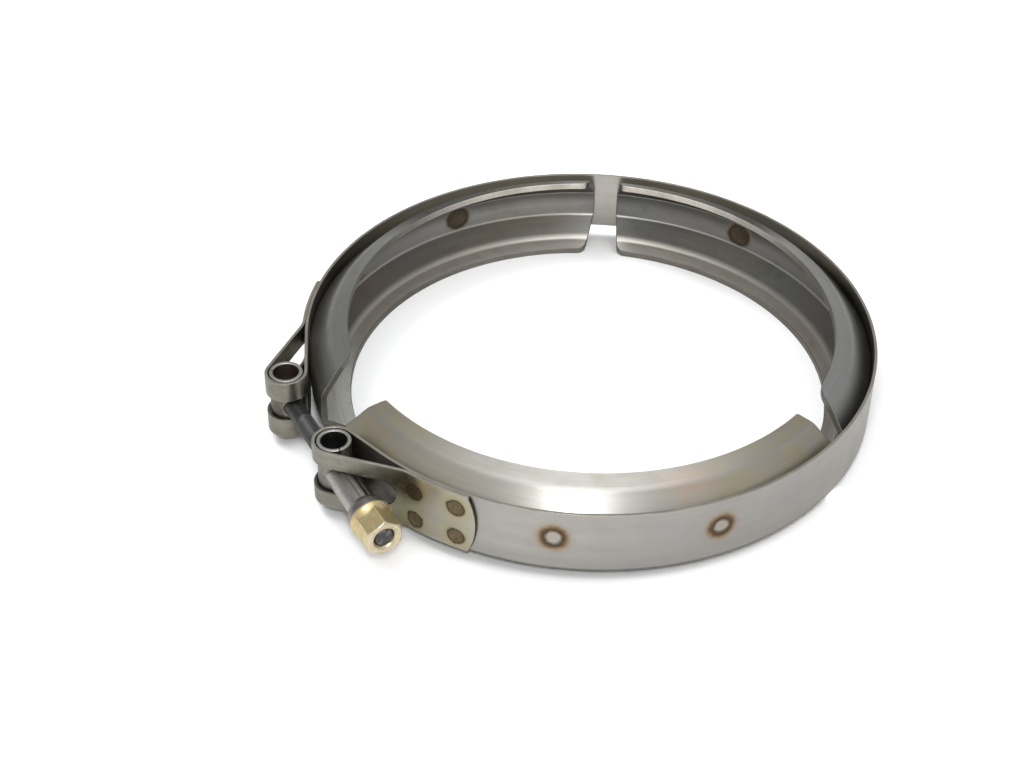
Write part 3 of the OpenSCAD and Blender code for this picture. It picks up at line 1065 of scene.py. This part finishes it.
def build_strap(strap, joint, slot_half, slot_more):
    mats = [
        strap_material("strap_brushed_in_" + strap.tag, strap, outside=False),
        edge_material("strap_edge_" + strap.tag, tint=srgb(186, 182, 172),
                      end_tint=srgb(150, 146, 136), half=HALF, metallic=0.9, tab_end=strap.end),
        strap_material("strap_brushed_out_" + strap.tag, strap, outside=True),
    ]
    start = strap.on_ring(joint)
    fine_from = -2.0
    columns = []
    length = start + 1.0
    while length < fine_from:
        columns.append(length)
        length += 1.7
    count = int((strap.end - fine_from) / 0.75)
    columns += [fine_from + (strap.end - fine_from) * i / count for i in range(count)]
    rows = [-HALF + 0.2 + (WIDTH - 0.4) * i / 16 for i in range(17)]
    welds = strap.ring_welds + strap.tab_welds
    extra = [p for weld in welds for p in weld_cloud(weld, 4.2, 7)]
    return sheet_solid("strap_" + strap.tag, strap_outline(strap, start),
                       [bolt_slot(strap, slot_half, slot_more)], strap.surface, STRAP_T,
                       edge_r=0.17, columns=columns, rows=rows, welds=welds, weld_clear=4.6,
                       extra=extra, mats=mats, clear=0.4)


# the head side's tab ends further round, and its welds sit with its end
head_shift = TAB_HEAD_END - TAB_NUT_END
head_tab_welds = [(bearing + head_shift + math.degrees(TAB_SHORT / TAB_R), z)
                  for bearing, z in TAB_WELDS]
front_path = Strap("front", 1, NUT_X, TAB_NUT_END, TAB_SHORT, GAP_FRONT,
                   RING_WELDS["front"] + RING_WELDS["right"][:1], TAB_WELDS)
back_path = Strap("back", -1, HEAD_X, TAB_HEAD_END, 0.0, GAP_BACK,
                  RING_WELDS["left"] + RING_WELDS["right"][1:], head_tab_welds)
front_strap = build_strap(front_path, STRAP_JOINT + LAP, SLOT_NUT_HALF, 0.0)
back_strap = build_strap(back_path, STRAP_JOINT - LAP, SLOT_HEAD_HALF, SLOT_HEAD_MORE)


# ------------------------------------------------------------------ V retainers
class Section:
    """Mid-line of the V section in (r, z), by length from the middle of the web, mirrored
    about z = 0: web, web bend, leg, knee bend, lip."""

    def __init__(self):
        web_bend_ri, knee_bend_ri = 2.0, 3.0
        self.web_r, self.knee_r = web_bend_ri + RETAINER_T / 2, knee_bend_ri + RETAINER_T / 2
        self.web_centre = (WEB_RI - web_bend_ri, WEB_HALF - web_bend_ri * math.tan(rad(22.5)))
        self.leg = leg = direction(45)
        self.lip = lip = (math.cos(PI / 2 - LIP_ANGLE), math.sin(PI / 2 - LIP_ANGLE))
        share = 1 + leg[0] * lip[0] + leg[1] * lip[1]
        knee_z = WEB_HALF + (WEB_RI - KNEE_R)
        self.knee_centre = (KNEE_R - knee_bend_ri * (leg[0] + lip[0]) / share,
                            knee_z - knee_bend_ri * (leg[1] + lip[1]) / share)
        self.leg_start = step(self.web_centre, leg, self.web_r)
        self.leg_end = step(self.knee_centre, leg, self.knee_r)
        self.lip_start = step(self.knee_centre, lip, self.knee_r)
        web = self.web_centre[1]
        web_bend = web + self.web_r * rad(45)
        leg_length = web_bend + math.hypot(*minus(self.leg_end, self.leg_start))
        knee_bend = leg_length + self.knee_r * rad(25)
        self.marks = (web, web_bend, leg_length, knee_bend)
        self.end = knee_bend + (self.lip_start[0] - LIP_R) / math.cos(LIP_ANGLE)

    def at(self, across):
        """Mid-line point and outward normal."""
        side = 1 if across >= 0 else -1
        across = abs(across)
        web, web_bend, leg, knee = self.marks
        if across < web:
            point, normal = (WEB_RI + RETAINER_T / 2, across), (1, 0)
        elif across < web_bend:
            normal = direction(45 * (across - web) / (web_bend - web))
            point = step(self.web_centre, normal, self.web_r)
        elif across < leg:
            normal = self.leg
            share = (across - web_bend) / (leg - web_bend)
            point = step(self.leg_start, minus(self.leg_end, self.leg_start), share)
        elif across < knee:
            normal = direction(45 + 25 * (across - leg) / (knee - leg))
            point = step(self.knee_centre, normal, self.knee_r)
        else:
            normal = self.lip
            run = (-math.cos(LIP_ANGLE), math.sin(LIP_ANGLE))
            point = step(self.lip_start, run, across - knee)
        return (point[0], side * point[1]), (normal[0], side * normal[1])


SECTION = Section()
WEB_BEND = (SECTION.marks[0] + SECTION.marks[1]) / 2
KNEE_BEND = (SECTION.marks[2] + SECTION.marks[3]) / 2


def section_end(plan, inwards, end):
    """An end's line and corner radii, from the lower lip up. inwards: 1 or -1 along u."""
    lip = SECTION.end
    line = []
    for across in [-lip] + steps(-lip, lip, 60):
        (r, _), _ = SECTION.at(across)
        set_back = max(0.0, end[across > 0] * (END_R - r) / (END_R - LIP_R))
        line.append((arc_on_section(plan + inwards * set_back), across))
    # drop the points which the corner fillets take
    low_cut, high_cut = [r * (1.6 if r < 3 else 1.25) for r in end[2:]]
    kept = [p for p in line if -lip + low_cut < p[1] < lip - high_cut]
    return [line[0]] + kept + [line[-1]], [end[2]] + [0] * len(kept) + [end[3]]


def build_retainer(key, welds, mats):
    (plan0, plan1), end0, end1 = RETAINERS[key]
    lip = SECTION.end

    def surface(along, across, h):
        # the lips are sheared upright, so both faces of the sheet end at the same radius
        skew = smoothstep(lip - 5.0, lip - 0.5, abs(across)) * math.tan(LIP_ANGLE)
        skewed = abs(across) + skew * h
        (r, z), (normal_r, normal_z) = SECTION.at(skewed if across >= 0 else -skewed)
        offset = h
        if h < 0 and abs(across) < 6:
            offset += weld_depth(along, across, welds) * 0.8
        r += normal_r * offset
        angle = along / SECTION_R
        return (r * math.cos(angle), r * math.sin(angle), z + normal_z * offset)

    start, start_radii = section_end(plan0, 1, end0)
    end, end_radii = section_end(plan1, -1, end1)
    loop = resample(fillet(end + start[::-1], end_radii + start_radii[::-1], 7), 1.5)
    columns = []
    along = arc_on_section(plan0) + 0.8
    while along < arc_on_section(plan1) - 0.4:
        columns.append(along)
        along += 1.9
    web, web_bend, leg, knee = SECTION.marks
    upper = (steps(0, web, 4) + steps(web, web_bend, 6) + steps(web_bend, leg, 6)
             + steps(leg, knee, 5) + steps(knee, lip, 4)[:-1])
    rows = [-across for across in reversed(upper)] + [0.0] + upper
    extra = [p for weld in welds for p in weld_cloud(weld, 4.0, 6) if abs(p[1]) < web - 0.3]
    return sheet_solid(f"retainer_{key}_formed", loop, [], surface, RETAINER_T, edge_r=0.28,
                       columns=columns, rows=rows, welds=welds, weld_clear=3.6,
                       extra=extra, mats=mats, clear=0.35)


# (outer painted light level, inner painted light level, plan angle where the painted highlights
# on the bends and edges are brightest)
RETAINER_LOOKS = {
    "front": (1.0, 1.0, None),
    "right": (1.12, 0.70, RIGHT_SPAN[1]),
    "left": (0.98, 1.0, LEFT_SPAN[0]),
}
retainers = {}
for key, (outer_painted_light, inner_painted_light, shine_plan) in RETAINER_LOOKS.items():
    welds = [(arc_on_section(plan), z) for plan, z in RING_WELDS[key]]
    shine = None if shine_plan is None else arc_on_section(shine_plan)
    front = key == "front"
    mats = [
        retainer_material("retainer_outer_" + key, inner=False, front=front, painted_light=outer_painted_light,
                          welds=welds, shine=None),
        edge_material("retainer_edge_" + key, tint=srgb(226, 219, 210),
                      end_tint=srgb(128, 126, 120), half=SECTION.end, metallic=0.40,
                      shine=shine, low=srgb(150, 146, 140)),
        retainer_material("retainer_inner_" + key, inner=True, front=front, painted_light=inner_painted_light,
                          welds=welds, shine=shine),
    ]
    retainers[key] = build_retainer(key, welds, mats)


# ------------------------------------------------------------------ turned and rolled parts
def metal_material(name, colours, rough, scale, lathe, wear, bump=0.03, bore=None):
    """Turned or drawn steel. colours: two mottled, one flecked over them. lathe: the axis of the
    tool marks. wear: the rims' colour. bore: an upright bore's (x, y, radius, colour)."""
    mat = Material(name)
    x, y, z = mat.position()
    patch = mat.noise((x, y, z), scale=scale, detail=4)
    grain = mat.noise((x, y, z), scale=scale * 5)
    first, second, fleck = colours
    base = mat.mix(patch.fade(0.36, 0.66), first, second)
    base = mat.mix(grain.fade(0.5, 0.75, end=0.5), base, fleck)
    marks = mat.noise(({"x": x, "z": z}[lathe] * 6.0, patch * 1.5), detail=2)
    bright = tuple(min(1, c * 1.35) for c in second)
    base = mat.mix(marks.fade(0.45, 0.8, end=0.25), base, bright)
    height = grain * 0.5 + marks * 0.6
    base = mat.wear(base, wear, grain, least=0.4, most=1.0)
    if bore is not None:
        # the bore's wall is painted its own colour: painted shade in the nut's trunnion; in the
        # head's, lighter and browner, partly its own brown and partly painted light
        centre_x, centre_y, bore_r, bore_colour = bore
        from_axis = shader_distance(x, y, (centre_x, centre_y))
        deep = (from_axis.fade(bore_r + 0.15, bore_r + 0.35, 1.0, 0.0)
                * grain.fade(0.35, 0.65, 0.95, 0.7))
        base = mat.mix(deep, base, bore_colour)
        # bright end faces
        face = abs(z).fade(HALF - 0.42, HALF - 0.15) * grain.fade(0.3, 0.7, 0.95, 0.6)
        base = mat.mix(face, base, srgb(208, 207, 204))
    return mat.finish(Base_Color=base, Metallic=1.0, Roughness=patch.fade(0.3, 0.7, *rough),
                      Normal=mat.bump(height, distance=bump, strength=0.7))


def build_trunnion(name, x, seam_angle, mat):
    """Rolled tube with an open butt seam and rounded rims."""
    profile = rounded([(TRUNNION_BORE, -HALF), (TRUNNION_VISIBLE_R, -HALF),
                       (TRUNNION_VISIBLE_R, HALF), (TRUNNION_BORE, HALF)],
                      [0.38, 0.34, 0.34, 0.38])
    obj = revolve(name, profile, (x, -BOLT_Y, 0), "z", 128, [mat])
    cosine, sine = direction(seam_angle)
    boolean(obj, box_cutter([
        (x + out * cosine - side * sine, -BOLT_Y + out * sine + side * cosine, z)
        for out in (TRUNNION_BORE - 1.2, TRUNNION_R + 1.5)
        for side in (-0.2, 0.2)
        for z in (-HALF - 1, HALF + 1)]))
    return obj


nut_trunnion_mat = metal_material(
    "trunnion_nut_steel", (srgb(146, 143, 137), srgb(124, 120, 112), srgb(104, 100, 92)),
    rough=(0.34, 0.5), scale=0.45, lathe="z", wear=srgb(190, 188, 182),
    bore=(NUT_X, -BOLT_Y, TRUNNION_BORE, srgb(92, 90, 92)))
head_trunnion_mat = metal_material(
    "trunnion_head_steel", (srgb(128, 120, 112), srgb(108, 98, 92), srgb(90, 78, 74)),
    rough=(0.36, 0.52), scale=0.45, lathe="z", wear=srgb(184, 180, 172),
    bore=(-HEAD_X, -BOLT_Y, TRUNNION_BORE, srgb(146, 128, 118)))
nut_trunnion = build_trunnion("trunnion_nut_rolled", NUT_X, 357, nut_trunnion_mat)
boolean(nut_trunnion, cylinder_cutter((NUT_X - 12, -BOLT_Y, 0), "x", BUSH_BORE, 24))
head_trunnion = build_trunnion("trunnion_head_rolled", -HEAD_X, 234, head_trunnion_mat)
boolean(head_trunnion, cylinder_cutter((-HEAD_X, -BOLT_Y, 0), "x", 3.325, 12))
for obj in (nut_trunnion, head_trunnion):
    sharpen(obj, 34)


def build_bolt(name, mat):
    """Threaded shank with a barrel head."""
    major, minor, shank_r = 3.165, 2.69, 3.10
    pitch = 25.4 / 28
    sides = 60
    start, end = -HEAD_X + 1.2, BOLT_X1
    thread_start = start + 12.0
    stations = [start, start + 2, start + 5, start + 8, thread_start - 1.0]
    x = thread_start
    while x < end - 0.02:
        stations.append(x)
        x += pitch / 9
    stations.append(end)

    def radius(x, angle):
        phase = ((x - thread_start) / pitch - angle / (2 * PI)) % 1.0
        crest = abs(2 * phase - 1)
        depth = 1 - min(1.0, max(0.0, (crest - 0.16) / 0.68))
        thread = major - depth * (major - minor)
        fade = smoothstep(thread_start - 0.5, thread_start + 2.4, x)
        chamfer = 2.60 + max(0.0, end - x) * 0.9
        return min(shank_r * (1 - fade) + thread * fade, chamfer)

    rings = [[(x, radius(x, 2 * PI * j / sides)) for j in range(sides)] for x in stations]
    # the end face is a shallow cone
    rings += [[(x, r)] * sides for x, r in ((end, 2.3), (end - 0.05, 1.2))]
    verts, faces = bolt_axis_rings(rings)
    tip = len(verts)
    verts += [(end - 0.08, -BOLT_Y, 0), (start, -BOLT_Y, 0)]
    faces += [(tip - sides + j, tip - sides + (j + 1) % sides, tip) for j in range(sides)]
    faces += [((j + 1) % sides, j, tip + 1) for j in range(sides)]
    obj = fix_normals(make(name, verts, faces, mats=[mat]))
    head_half, head_r = 4.6, TRUNNION_BORE - 0.05
    profile = rounded([(0.0, -head_half), (head_r, -head_half), (head_r, head_half),
                       (0.0, head_half)], [0, 0.6, 0.6, 0])
    boolean(obj, revolve("cutter", profile, (-HEAD_X, -BOLT_Y, 0), "z", 72), "UNION")
    return sharpen(obj, 50)


bolt_mat = metal_material(
    "bolt_phosphate", (srgb(98, 98, 99), srgb(82, 82, 82), srgb(66, 65, 64)),
    rough=(0.40, 0.54), scale=0.55, lathe="x", wear=srgb(140, 140, 138))
bolt = build_bolt("t_bolt_threaded", bolt_mat)


def build_sleeve(name, mat):
    """Rolled tube with an open seam; its inner end is a saddle on the nut's trunnion."""
    outer_r = 4.7
    start = NUT_X + 2.0
    length = SLEEVE_X1 - start
    profile = rounded([(BUSH_BORE, 0), (outer_r, 0), (outer_r, length), (BUSH_BORE, length)],
                      [0, 0, 0.35, 0.3])
    obj = revolve(name, profile, (start, -BOLT_Y, 0), "x", 128, [mat])
    boolean(obj, cylinder_cutter((NUT_X, -BOLT_Y, -12), "z", TRUNNION_R + 0.03, 24, 160))
    cosine, sine = direction(72)
    boolean(obj, box_cutter([
        (x, -BOLT_Y + (out * cosine - side * sine), out * sine + side * cosine)
        for x in (NUT_X - 1, SLEEVE_X1 + 3)
        for side in (-0.55, 0.55)
        for out in (1.0, outer_r + 2)]))
    bevel = obj.modifiers.new("bev", "BEVEL")
    bevel.width = 0.12 * MM
    bevel.segments = 2
    bevel.limit_method = "ANGLE"
    bevel.angle_limit = rad(50)
    bevel.use_clamp_overlap = True
    apply_modifiers(obj)
    return sharpen(obj, 35)


sleeve_mat = metal_material(
    "sleeve_steel", (srgb(134, 134, 130), srgb(116, 116, 112), srgb(100, 99, 94)),
    rough=(0.34, 0.48), scale=0.4, lathe="x", wear=srgb(190, 188, 184))
sleeve = build_sleeve("bearing_sleeve_rolled", sleeve_mat)

# thrust collar: (r, h) profile from its trunnion end
collar_length = COLLAR_X1 - COLLAR_X0
collar_profile = rounded(
    [(BUSH_BORE, 0), (4.8, 0), (5.6, 0.5), (6.1, 2.0), (6.1, collar_length),
     (BUSH_BORE, collar_length)],
    [0.15, 0.2, 0.5, 0.8, 0.4, 0.2])
collar_mat = metal_material(
    "collar_steel", (srgb(156, 150, 150), srgb(138, 131, 130), srgb(118, 111, 109)),
    rough=(0.32, 0.46), scale=0.5, lathe="x", wear=srgb(196, 192, 190), bump=0.02)
collar = revolve("thrust_collar_turned", collar_profile, (COLLAR_X0, -BOLT_Y, 0), "x", 120,
                 [collar_mat])
sharpen(collar, 40)


# ------------------------------------------------------------------ flanged hex nut
NUT_LENGTH = NUT_X1 - NUT_X0
NUT_ACROSS_FLATS = 11.11
NUT_CORNER = rad(27)                # one hex corner, from +Y towards +Z
HEX_FROM = 4.2                      # the flange has run out into the hex here
# flange outline: (x from the nut's seat, radius)
FLANGE = [
    (0.0, 6.35), (0.12, 6.62), (0.35, 6.82), (0.6, 6.88), (0.9, 6.88), (1.15, 6.80), (1.4, 6.62),
    (1.7, 6.42), (2.0, 6.22), (2.3, 6.03), (2.7, 5.82), (3.1, 5.62), (3.5, 5.4), (HEX_FROM, 5.0),
]
# stations along the flange
NUT_STATIONS = [0.0, 0.12, 0.35, 0.6, 0.9, 1.15, 1.4, 1.7, 2.0, 2.3, 2.6, 2.9, 3.2, 3.6, HEX_FROM]
# end face, lock crown, countersink, bore and seat: (x, radius)
NUT_INSIDE = [
    (NUT_LENGTH, 4.75), (NUT_LENGTH - 0.10, 4.62), (NUT_LENGTH - 0.12, 4.40),
    (NUT_LENGTH - 0.02, 4.28), (NUT_LENGTH, 4.15), (NUT_LENGTH - 0.03, 4.05),
    (NUT_LENGTH - 0.75, 3.34), (NUT_LENGTH - 0.95, 3.26), (NUT_LENGTH - 2.0, 3.24),
    (1.0, 3.24), (0.6, 3.26), (0.04, 3.80),
]


def smooth_max(a, b, width):
    share = max(0.0, min(1.0, 0.5 + 0.5 * (a - b) / width))
    return b * (1 - share) + a * share + width * share * (1 - share)


def smooth_min(a, b, width):
    return -smooth_max(-a, -b, width)


def flange_radius(x):
    for (x0, r0), (x1, r1) in zip(FLANGE, FLANGE[1:]):
        if x <= x1:
            return r0 + (r1 - r0) * (x - x0) / (x1 - x0)


def nut_radius(x, angle):
    from_flat = (angle - NUT_CORNER + PI / 6 + PI / 6) % (PI / 3) - PI / 6
    flat_r = NUT_ACROSS_FLATS / 2
    r = smooth_min(flat_r / math.cos(from_flat), flat_r / math.cos(PI / 6) - 0.10, 0.16)
    chamfer = 5.30 + (NUT_LENGTH - x) * 1.55
    r = smooth_min(r, chamfer, 0.22)
    return smooth_max(r, flange_radius(x), 0.25) if x < HEX_FROM else r


def build_nut(name, mat):
    sides = 180
    angles = [2 * PI * j / sides for j in range(sides)]
    chamfer_start = NUT_LENGTH - 1.5
    stations = (NUT_STATIONS + steps(HEX_FROM, chamfer_start, 5)
                + steps(chamfer_start, NUT_LENGTH - 0.12, 12))
    rings = [[(0.0, r)] * sides for r in (3.24 + 0.6, 5.2)]
    for x in stations:
        seat_chamfer = 0.12 if x == 0 else 0
        rings.append([(x, nut_radius(x, a) - seat_chamfer) for a in angles])
    # the rim rolls over onto the end face
    for x, change in ((NUT_LENGTH - 0.05, -0.16), (NUT_LENGTH, -0.34)):
        rings.append([(x, min(nut_radius(stations[-1], a) + change, 5.42)) for a in angles])
    rings += [[(x, r)] * sides for x, r in NUT_INSIDE]
    rings = [[(NUT_X0 + x, r) for x, r in ring] for ring in rings]
    verts, faces = bolt_axis_rings(rings, closed=True)
    return sharpen(fix_normals(make(name, verts, faces, mats=[mat])), 40)


def zinc_material(name):
    """Yellow passivated zinc: cream to gold, rubbed pale on the corners and the end face."""
    mat = Material(name)
    x, y, z = mat.position()
    patch = mat.noise((x, y, z), scale=0.42, detail=4)
    grain = mat.noise((x, y, z), scale=1.9)
    sheen = mat.noise((x, y, z), scale=0.16, detail=2, roughness=0.5)
    base = mat.mix(patch.fade(0.36, 0.64), srgb(228, 216, 172), srgb(210, 190, 132))
    base = mat.mix(grain.fade(0.5, 0.75, end=0.55), base, srgb(182, 156, 102))
    base = mat.mix(sheen.fade(0.45, 0.7, end=0.35), base, srgb(216, 192, 164))
    face = x.rise(NUT_X1 - 0.9, NUT_X1 - 0.3)
    base = mat.mix(face * grain.fade(0.3, 0.7, 0.9, 0.5), base, srgb(220, 206, 186))
    base = mat.wear(base, srgb(236, 228, 206), grain, least=0.3, most=0.9)
    return mat.finish(Base_Color=base, Metallic=0.9, Roughness=patch.fade(0.3, 0.7, 0.30, 0.46),
                      Normal=mat.bump(grain, distance=0.03, strength=0.7))


nut = build_nut("flange_nut_hex", zinc_material("yellow_zinc"))

# ------------------------------------------------------------------ what rides on what
for obj, node, body, slot in (
    (retainers["front"], "retainer_front", "front_segment", "retainer_steel"),
    (retainers["right"], "retainer_right", "right_segment", "retainer_steel"),
    (retainers["left"], "retainer_left", "left_segment", "retainer_steel"),
    (head_trunnion, "trunnion_head", "bolt_swivel", "trunnion_steel"),
    (bolt, "t_bolt", "bolt_swivel", "bolt_steel"),
    (nut_trunnion, "trunnion_nut", "nut_swivel", "trunnion_steel"),
    (sleeve, "bearing_sleeve", "nut_swivel", "sleeve_steel"),
    (collar, "thrust_collar", "nut_swivel", "collar_steel"),
    (nut, "flange_nut", "nut", "yellow_zinc"),
):
    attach(obj, body)
    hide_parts(node)


def ring_point(plan):
    """A point on the ring, in metres."""
    return (RING_R * MM * math.cos(rad(plan)), RING_R * MM * math.sin(rad(plan)), 0.0)


ring_point(FRONT_SPAN[1])
ring_point(RIGHT_SPAN[0])
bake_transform(front_strap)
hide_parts("band_front", "band_right")
ring_point(RIGHT_SPAN[1])
ring_point(LEFT_SPAN[0])
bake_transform(back_strap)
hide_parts("band_left")

# ------------------------------------------------------------------ floor (metres from here on)
scene = bpy.context.scene
FLOOR_HALF = 4
floor_z = CAD_BOX[0][2]
floor_mesh = bpy.data.meshes.new("floor")
floor_mesh.from_pydata([(x * FLOOR_HALF, y * FLOOR_HALF, floor_z)
                        for x, y in ((-1, -1), (1, -1), (1, 1), (-1, 1))], [], [(0, 1, 2, 3)])
floor = bpy.data.objects.new("floor", floor_mesh)
scene.collection.objects.link(floor)
floor_mat = Material("floor_pale")
# paler to the camera than to the metal's reflections
seen = floor_mat.add("ShaderNodeLightPath", {}, "Is Camera Ray")
floor_mesh.materials.append(floor_mat.finish(
    Base_Color=floor_mat.mix(seen, (0.60, 0.60, 0.60), (0.93, 0.94, 0.955)),
    Roughness=0.9, Specular_IOR_Level=0.15))

# ------------------------------------------------------------------ camera axes
CAMERA = Vector((413.62186738578464, -257.45693759998704, 368.69590581718677)) * MM
RIGHT = Vector((0.471546803974533, 0.8816997079851335, 0.015787229026452552))
UP = Vector((-0.5523571598065251, 0.28135902466579393, 0.7846901727749508))
FORWARD = Vector((-0.6874192168334198, 0.3787383320685186, -0.6196870953554577))
LEVEL_FORWARD = Vector((FORWARD[0], FORWARD[1], 0)).normalized()
LEVEL_RIGHT = Vector((LEVEL_FORWARD[1], -LEVEL_FORWARD[0], 0)).normalized()

# ------------------------------------------------------------------ world: a room, seen by rays
world = bpy.data.worlds.new("studio")
scene.world = world
room = Shader(world)
world_output = room.node("ShaderNodeOutputWorld")
background = room.node("ShaderNodeBackground")
room.tree.links.new(background.outputs[0], world_output.inputs[0])
ray_direction = room.add("ShaderNodeTexCoord", {}, "Generated")


def ray_along(axis):
    return room.add("ShaderNodeVectorMath", {0: ray_direction, 1: axis}, "Value",
                    operation="DOT_PRODUCT")


upwards = ray_along(Vector((0, 0, 1)))
forwards = ray_along(LEVEL_FORWARD)
rightwards = ray_along(LEVEL_RIGHT)
# mid-grey walls, from behind the camera to ahead of it
walls = room.ramp(forwards.fade(-1.0, 1.0), [
    (0.0, (0.50, 0.50, 0.49)), (0.35, (0.44, 0.44, 0.43)), (0.6, (0.34, 0.34, 0.34)),
    (0.85, (0.28, 0.28, 0.28)), (1.0, (0.38, 0.38, 0.38))])
walls = room.mix(rightwards.fade(0.3, 0.9, end=0.6), walls, (0.50, 0.50, 0.49))
# warmer and brighter high up behind the camera
walls = room.mix(forwards.rise(0.1, -0.5) * upwards.rise(0.15, 0.55), walls, (0.66, 0.645, 0.60))
# bright ceiling panel, dimmer to either side
panel = upwards.rise(0.78, 0.96) * abs(rightwards).fall(0.14, 0.46, floor=0.30)
room.put(background.inputs[0], room.mix(panel, walls, (1.75, 1.74, 1.71)))
background.inputs[1].default_value = 1.0


# ------------------------------------------------------------------ lights
def area_light(name, location, target, width, height, power, color):
    data = bpy.data.lights.new(name, "AREA")
    data.shape = "RECTANGLE"
    data.size, data.size_y = width, height
    data.energy = power
    data.color = color
    light = bpy.data.objects.new(name, data)
    scene.collection.objects.link(light)
    light.location = location
    light.rotation_mode = "QUATERNION"
    aim = Vector(target) - Vector(location)
    light.rotation_quaternion = aim.to_track_quat("-Z", "Y")
    return light


# floor light, kept out of the metal's reflections: (name, right, forward, up, size, power)
for name, right, forward, up, size, power in (
    ("soft_key", -0.75, 0.55, 1.25, 0.9, 17),
    ("soft_fill", 0.9, -0.2, 1.2, 1.0, 11),
):
    level = LEVEL_RIGHT * right + LEVEL_FORWARD * forward
    light = area_light(name, (level[0], level[1], up), (0, 0, 0), size, size, power,
                       color=(1.0, 1.0, 1.0))
    light.visible_glossy = False
# one small lamp whose reflection sits on the front retainer's shoulder
hot_x, hot_y = direction(-33)
shoulder = Vector((89.5 * hot_x, 89.5 * hot_y, 12.0)) * MM
shoulder_normal = Vector((hot_x, hot_y, 1.0)).normalized()
view = (shoulder - CAMERA).normalized()
mirrored = view - 2 * view.dot(shoulder_normal) * shoulder_normal
area_light("lamp", shoulder + mirrored * 0.42, shoulder, width=0.045, height=0.04, power=0.62,
           color=(0.97, 0.985, 1.0))

# ------------------------------------------------------------------ camera
camera_data = bpy.data.cameras.new("camera")
camera_data.lens = 63.21299557289117
camera_data.sensor_width = 36
camera_data.sensor_fit = "HORIZONTAL"
camera_data.clip_start, camera_data.clip_end = 0.01, 50
camera = bpy.data.objects.new("camera", camera_data)
scene.collection.objects.link(camera)
rotation = Matrix((RIGHT, UP, -FORWARD)).transposed()
camera.matrix_world = Matrix.Translation(CAMERA) @ rotation.to_4x4()
scene.camera = camera
scene.view_settings.view_transform = "Standard"
scene.view_settings.look = "None"
